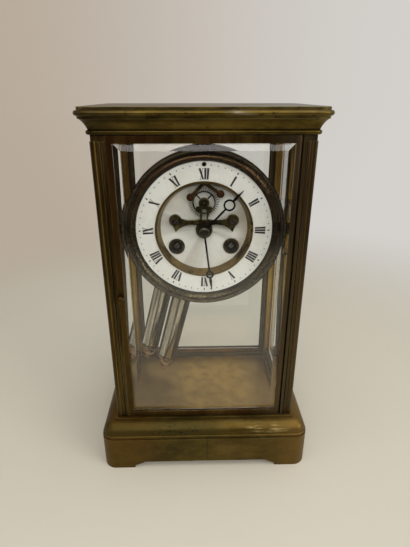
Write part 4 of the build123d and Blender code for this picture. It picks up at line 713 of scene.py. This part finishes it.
nodeFinishes = {
    "baseBrass": ["base_plinth"],
    "corniceBrass": ["cornice"],
    "pillarBrass": ["pillar_front_left", "pillar_front_right", "pillar_back_left", "pillar_back_right"],
    "railBrass": ["side_rails"],
    "backDoorBrass": ["back_door_frame"],
    "doorBrass": ["front_door_frame", "front_latch"],
    "floorBrass": ["floor_plate"],
    "fittingBrass": ["back_latch", "hinge_pins", "movement_straps", "tie_rods"],
    "bezelBronze": ["dial_bezel"],
    "sightBrass": ["sight_ring"],
    "colletBrass": ["winding_collets"],
    "cockBronze": ["escapement_cock"],
    "nutBronze": ["hand_nut"],
    "bluedSteel": ["hour_hand", "minute_hand", "regulator_arbor"],
    "darkSteel": ["going_click", "strike_click", "crutch", "hammer", "bell_stand"],
    "wheelSteel": ["escape_wheel"],
    "arborSteel": ["suspension_spring", "going_arbor", "strike_arbor"],
    "anchorSteel": ["anchor"],
    "palletRuby": ["pallet_jewels"],
    "movementBrass": ["front_plate", "back_plate", "plate_posts", "going_barrel", "strike_barrel",
                      "centre_wheel", "third_wheel", "cannon_pinion", "minute_wheel", "hour_wheel",
                      "strike_wheel", "pin_wheel", "fly", "suspension_block"],
    "bellMetal": ["bell"],
    "pendulumBrass": ["pendulum_rod", "vial_frame", "rating_nut"],
    "chapterEnamel": ["chapter_ring"],
    "centreEnamel": ["dial_centre"],
    "paneGlass": ["side_glass_left", "side_glass_right", "front_glass", "back_glass"],
    "vialGlass": ["glass_vials"],
    "mercury": ["mercury_columns"],
}
for finish, names in nodeFinishes.items():
    for name in names:
        cadNodes[name].data.materials.clear()
        cadNodes[name].data.materials.append(materials[finish])
print("materials given to", sum(len(n) for n in nodeFinishes.values()), "pieces")


# Small pieces

def pieceFrom(mesh, name, finish, body):
    data = bpy.data.meshes.new(name)
    bmesh.ops.recalc_face_normals(mesh, faces=mesh.faces)
    mesh.to_mesh(data)
    mesh.free()
    piece = bpy.data.objects.new(name, data)
    bpy.context.scene.collection.objects.link(piece)
    data.materials.append(materials[finish])
    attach(piece, body)


# A flat closed shape lying on the dial, its outline given as (x, z) in metres
def inlay(mesh, outline, back, front):
    lower = [mesh.verts.new((x, back, z)) for x, z in outline]
    upper = [mesh.verts.new((x, front, z)) for x, z in outline]
    mesh.faces.new(lower)
    mesh.faces.new(list(reversed(upper)))
    count = len(outline)
    for index in range(count):
        after = (index + 1) % count
        mesh.faces.new((lower[after], lower[index], upper[index], upper[after]))


numerals = {
    "words": ["XII", "I", "II", "III", "IIII", "V", "VI", "VII", "VIII", "IX", "X", "XI"],
    "inner": 35.4 * mm, "height": 7.4 * mm, "thick": 1.35 * mm, "thin": 0.3 * mm, "serif": 0.24 * mm,
    "advance": {"I": 1.75 * mm, "V": 3.2 * mm, "X": 3.3 * mm}, "lift": 0.04 * mm, "sink": 0.02 * mm,
    "stemSerifShare": 0.9, "armSerifShare": 0.45,
    "minutes": 60, "dotRing": 44.9 * mm, "dot": 0.42 * mm, "hourDot": (0.5 * mm, 0.9 * mm), "dotSides": 8,
}


def makeNumerals(look):
    mesh = bmesh.new()
    middle = look["inner"] + look["height"] / 2
    back = enamelFront + look["sink"]
    front = enamelFront - look["lift"]
    top = look["height"]
    serif = look["serif"]

    def bent(turn, points):
        outline = []
        for across, up in points:
            angle = turn + across / middle
            radius = look["inner"] + up
            outline.append((dialX + radius * math.sin(angle), dialZ + radius * math.cos(angle)))
        inlay(mesh, outline, back, front)

    def stroke(turn, low, high, width):
        half = width / 2
        bent(turn, [(low - half, serif), (low + half, serif),
                    (high + half, top - serif), (high - half, top - serif)])

    def bar(turn, centre, width, low):
        half = width / 2
        bent(turn, [(centre - half, low), (centre + half, low),
                    (centre + half, low + serif), (centre - half, low + serif)])

    for hour, word in enumerate(look["words"]):
        turn = 2 * math.pi * hour / len(look["words"])
        at = -sum(look["advance"][letter] for letter in word) / 2
        for letter in word:
            wide = look["advance"][letter]
            centre = at + wide / 2
            reach = wide / 2 - look["thick"] / 2
            armSerif = wide * look["armSerifShare"]
            if letter == "I":
                stroke(turn, centre, centre, look["thick"])
                for low in (0, top - serif):
                    bar(turn, centre, wide * look["stemSerifShare"], low)
            elif letter == "V":
                stroke(turn, centre + look["thin"], centre - reach, look["thick"])
                stroke(turn, centre + look["thin"], centre + reach, look["thin"])
                for side in (-1, 1):
                    bar(turn, centre + side * reach, armSerif, top - serif)
            else:
                stroke(turn, centre + reach, centre - reach, look["thick"])
                stroke(turn, centre - reach, centre + reach, look["thin"])
                for side in (-1, 1):
                    for low in (0, top - serif):
                        bar(turn, centre + side * reach, armSerif, low)
            at += wide
    hourStep = look["minutes"] // len(look["words"])
    for minute in range(1, look["minutes"]):
        turn = 2 * math.pi * minute / look["minutes"]
        wide, tall = look["hourDot"] if minute % hourStep == 0 else (look["dot"], look["dot"])
        outline = []
        for step in range(look["dotSides"]):
            angle = 2 * math.pi * step / look["dotSides"]
            radius = look["dotRing"] + tall * math.cos(angle)
            spread = turn + wide * math.sin(angle) / look["dotRing"]
            outline.append((dialX + radius * math.sin(spread), dialZ + radius * math.cos(spread)))
        inlay(mesh, outline, back, front)
    pieceFrom(mesh, "dial_numerals", "numeralInk", "case")


makeNumerals(numerals)
print("numerals drawn")


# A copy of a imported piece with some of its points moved, which stands for that piece
def reshaped(source, name, body, shift):
    data = cadNodes[source].data.copy()
    for vert in data.vertices:
        vert.co += shift(vert.co)
    piece = bpy.data.objects.new(name, data)
    bpy.context.scene.collection.objects.link(piece)
    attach(piece, body)
    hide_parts(source)


# The cock with the top of its arms raised
cockArms = {"from": 2.9 * mm, "to": 15.7 * mm, "low": 5.0 * mm, "high": 7.0 * mm, "raise": 1.3 * mm}


def makeCock(look):
    def shift(point):
        across = abs(point.x - dialX)
        up = point.z - dialZ
        onArm = look["from"] < across < look["to"] and look["low"] < up < look["high"]
        return Vector((0, 0, look["raise"] if onArm else 0))

    reshaped("escapement_cock", "dial_cock", "case", shift)


makeCock(cockArms)
print("cock made")

# The cornice with its mouldings brought out over the pillars, most at the top
corniceReach = {"low": 259 * mm, "high": 268 * mm, "reachLow": 0.65 * mm, "reachHigh": 1.7 * mm,
                "rim": 1.5 * mm}


def makeCornice(look):
    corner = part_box("pillar_back_right")[1]

    def shift(point):
        rise = min(max((point.z - look["low"]) / (look["high"] - look["low"]), 0), 1)
        reach = look["reachLow"] + rise * (look["reachHigh"] - look["reachLow"])
        across = math.copysign(reach, point.x) if abs(point.x) > corner.x - look["rim"] else 0
        along = math.copysign(reach, point.y) if abs(point.y) > corner.y - look["rim"] else 0
        return Vector((across, along, 0))

    reshaped("cornice", "top_cornice", "case", shift)


makeCornice(corniceReach)
print("cornice made")

# The bob with shorter vials over deeper stirrups: distances along the rod, from where the bob turns
bobFeet = {"low": -94.6 * mm, "high": -91.9 * mm, "raise": 3.5 * mm,
           "pieces": [("vial_frame", "bob_frame", "pendulum_brass"),
                      ("glass_vials", "bob_vials", "vial_glass"),
                      ("mercury_columns", "bob_mercury", "mercury")]}


def makeBob(look):
    def shift(point):
        along = (point - rodFoot).dot(rodAxis)
        return rodAxis * (look["raise"] if look["low"] < along < look["high"] else 0)

    for source, name, slot in look["pieces"]:
        reshaped(source, name, "bob", shift)


makeBob(bobFeet)
print("bob made")

cockScrews = {
    "places": [(-20.4 * mm, 5.9 * mm), (20.1 * mm, 5.5 * mm)], "turns": [65, 20], "sides": 40,
    "radius": 2.3 * mm, "height": 1.0 * mm, "dome": 0.35 * mm, "crownShare": 0.9,
    "slot": 0.5 * mm, "slotDepth": 0.45 * mm, "slotShare": 0.9506,
}


# A cheese-head screw facing -Y: two halves of a head, with the floor of the slot between them
def screwHead(mesh, x, z, seat, look, turn):
    half = look["slot"] / 2
    top = seat - look["height"]
    spin = math.radians(turn)

    def spun(u, v, depth):
        return mesh.verts.new((x + u * math.cos(spin) - v * math.sin(spin), depth,
                               z + u * math.sin(spin) + v * math.cos(spin)))

    steps = look["sides"] // 2
    limit = math.asin(half / look["radius"])
    span = math.pi - 2 * limit
    rims = [(look["radius"], seat), (look["radius"], top + look["dome"]),
            (look["radius"] * look["crownShare"], top)]
    for side in (-1, 1):
        start = limit if side > 0 else math.pi + limit
        arc = [start + span * step / steps for step in range(steps + 1)]
        loops = []
        for radius, depth in rims:
            places = [(radius * math.cos(angle), abs(radius * math.sin(angle))) for angle in arc]
            loops.append([spun(u, max(v, half) * side, depth) for u, v in places])
        for lower, upper in zip(loops, loops[1:]):
            for index in range(steps):
                mesh.faces.new((lower[index], lower[index + 1], upper[index + 1], upper[index]))
            mesh.faces.new((lower[-1], lower[0], upper[0], upper[-1]))
        mesh.faces.new(loops[-1])
        mesh.faces.new(list(reversed(loops[0])))
    reach = look["radius"] * look["slotShare"]
    corners = [(-reach, -half), (reach, -half), (reach, half), (-reach, half)]
    under, floor = [[spun(u, v, depth) for u, v in corners] for depth in (seat, top + look["slotDepth"])]
    mesh.faces.new(under)
    mesh.faces.new(list(reversed(floor)))
    for index in range(len(corners)):
        after = (index + 1) % len(corners)
        mesh.faces.new((under[after], under[index], floor[index], floor[after]))


def makeCockScrews(look):
    mesh = bmesh.new()
    for (x, z), turn in zip(look["places"], look["turns"]):
        screwHead(mesh, dialX + x, dialZ + z, cockFront, look, turn)
    pieceFrom(mesh, "cock_screws", "screwSteel", "case")


makeCockScrews(cockScrews)
print("screws set")


# Floor, light and camera

studio = {
    "floor": (0.60, 0.56, 0.46, 1), "floorShade": (0.57, 0.532, 0.437, 1), "floorCloud": 9.0,
    "floorRoughness": 0.6, "floorSize": 14.0, "floorFade": (0.24, 0.70),
    "leftTone": (0.47, 0.395, 0.315, 1), "rightTone": (0.655, 0.635, 0.605, 1), "acrossRange": (-0.5, 0.5),
    "frontTone": (0.045, 0.038, 0.030, 1), "frontRange": (0.15, -0.5), "overheadRange": (0.85, 0.5),
    "skyLight": (0.95, 0.97, 1.0, 1), "skyStrength": 0.33,
}
lamps = {
    "topBox": dict(at=(0.15, -0.25, 1.3), aim=(0, 0, 0.12), size=(1.3, 1.0), power=8.0,
                   tint=(1.0, 0.98, 0.95)),
    "frontBox": dict(at=(-0.1, -1.3, 1.0), aim=(0, 0, 0.15), size=(1.0, 0.8), power=8.0,
                     tint=(1.0, 0.98, 0.95)),
    "rightWindow": dict(at=(1.25, -0.95, 0.75), aim=(0, 0, 0.13), size=(0.9, 1.2), power=13.0,
                        tint=(1.0, 0.985, 0.96)),
    "leftFill": dict(at=(-1.3, -0.7, 0.6), aim=(0, 0, 0.13), size=(0.9, 0.9), power=4.0,
                     tint=(1.0, 0.95, 0.88)),
}
camera = {"at": (-6.3 * mm, -311.05 * mm, 279.8 * mm), "forward": (0.02276, 0.91830, -0.39523),
          "focalPixels": 415.1, "imageHeight": 547, "sensor": 36.0, "nearest": 10 * mm}


# The pale backdrop by direction, with painted shade that makes it darker and warmer to the left, and what
# bright metal mirrors of it, dim towards the front
def makeRoomTone():
    group, start, end = newGroup("roomTone", [("Direction", vectorKind, (0, 1, 0))],
                                 [("Seen", colourKind), ("Mirrored", colourKind)])
    x, y, z = splitVector(group, start.outputs["Direction"])
    across = stretch(group, x, *studio["acrossRange"])
    seen = mixColour(group, across, studio["leftTone"], studio["rightTone"])
    dim = mathNode(group, "MULTIPLY", stretch(group, y, *studio["frontRange"]),
                   stretch(group, z, *studio["overheadRange"]))
    group.links.new(seen, end.inputs["Seen"])
    group.links.new(mixColour(group, dim, seen, studio["frontTone"]), end.inputs["Mirrored"])
    return group


roomTone = makeRoomTone()


# Rays that reach the eye straight or through glass alone, with no surface mirroring them on the way
def directRays(tree, path):
    straight = mathNode(tree, "MAXIMUM", path["Is Camera Ray"], path["Is Transmission Ray"])
    bounces = mathNode(tree, "ADD", path["Glossy Depth"], path["Diffuse Depth"])
    return mathNode(tree, "MULTIPLY", straight, mathNode(tree, "LESS_THAN", bounces, 0.5))  # no bounce


# The room tone as two lights of the given kind: what the eye sees and what metal mirrors
def roomLights(tree, kind, direction):
    tone = addNode(tree, "ShaderNodeGroup", node_tree=roomTone)
    tree.links.new(direction, tone.inputs["Direction"])
    lights = []
    for name in ("Seen", "Mirrored"):
        light = addNode(tree, kind)
        tree.links.new(tone.outputs[name], light.inputs["Color"])
        lights.append(light.outputs[0])
    return lights


def makeFloor():
    mesh = bmesh.new()
    half = studio["floorSize"] / 2
    corners = ((-half, -half), (half, -half), (half, half), (-half, half))
    mesh.faces.new([mesh.verts.new((x, y, 0)) for x, y in corners])
    data = bpy.data.meshes.new("floor")
    mesh.to_mesh(data)
    mesh.free()
    floor = bpy.data.objects.new("floor", data)
    bpy.context.scene.collection.objects.link(floor)
    material, tree, shader = newMaterial("paleFloor")
    place = objectPlace(tree)
    cloud = noise(tree, place, studio["floorCloud"], detail=5.0, rough=0.6)
    colour = mixColour(tree, cloud, studio["floor"], studio["floorShade"])
    tree.links.new(colour, shader.inputs["Base Color"])
    shader.inputs["Roughness"].default_value = studio["floorRoughness"]
    # painted backdrop: away from the clock the floor glows with the room tone for the eye and for mirrors,
    # in place of being lit
    seen, mirrored = roomLights(tree, "ShaderNodeEmission", vectorNode(tree, "NORMALIZE", place))
    path = addNode(tree, "ShaderNodeLightPath").outputs
    direct = directRays(tree, path)
    far = mixShader(tree, direct, mirrored, seen)
    rays = mathNode(tree, "MAXIMUM", direct, path["Is Glossy Ray"])
    fade = stretch(tree, vectorNode(tree, "LENGTH", place), *studio["floorFade"])
    surface = mixShader(tree, mathNode(tree, "MULTIPLY", rays, fade), shader.outputs[0], far)
    tree.links.new(surface, tree.nodes["Material Output"].inputs["Surface"])
    data.materials.append(material)


def makeWorld():
    world = bpy.data.worlds.new("studioWorld")
    bpy.context.scene.world = world
    world.use_nodes = True
    tree = world.node_tree
    light = tree.nodes["Background"]
    light.inputs["Color"].default_value = studio["skyLight"]
    light.inputs["Strength"].default_value = studio["skyStrength"]
    direction = addNode(tree, "ShaderNodeTexCoord").outputs["Generated"]
    seen, mirrored = roomLights(tree, "ShaderNodeBackground", direction)
    path = addNode(tree, "ShaderNodeLightPath").outputs
    sky = mixShader(tree, path["Is Glossy Ray"], light.outputs[0], mirrored)
    sky = mixShader(tree, directRays(tree, path), sky, seen)
    tree.links.new(sky, tree.nodes["World Output"].inputs["Surface"])


def makeLamps():
    for name, look in lamps.items():
        data = bpy.data.lights.new(name, "AREA")
        data.shape = "RECTANGLE"
        data.size, data.size_y = look["size"]
        data.energy = look["power"]
        data.color = look["tint"]
        lamp = bpy.data.objects.new(name, data)
        lamp.location = look["at"]
        lamp.rotation_euler = (Vector(look["aim"]) - Vector(look["at"])).to_track_quat("-Z", "Y").to_euler()
        bpy.context.scene.collection.objects.link(lamp)


def makeCamera():
    data = bpy.data.cameras.new("camera")
    data.sensor_fit = "VERTICAL"
    data.sensor_height = camera["sensor"]
    data.lens = camera["sensor"] * camera["focalPixels"] / camera["imageHeight"]
    data.clip_start = camera["nearest"]
    eye = bpy.data.objects.new("camera", data)
    forward = Vector(camera["forward"]).normalized()
    right = forward.cross(Vector((0, 0, 1))).normalized()
    up = right.cross(forward)
    turn = Matrix((right, up, -forward)).transposed().to_4x4()
    eye.matrix_world = Matrix.Translation(camera["at"]) @ turn
    bpy.context.scene.collection.objects.link(eye)
    bpy.context.scene.camera = eye


makeFloor()
makeWorld()
makeLamps()
makeCamera()
bpy.context.scene.view_settings.view_transform = "Standard"
print("studio ready")
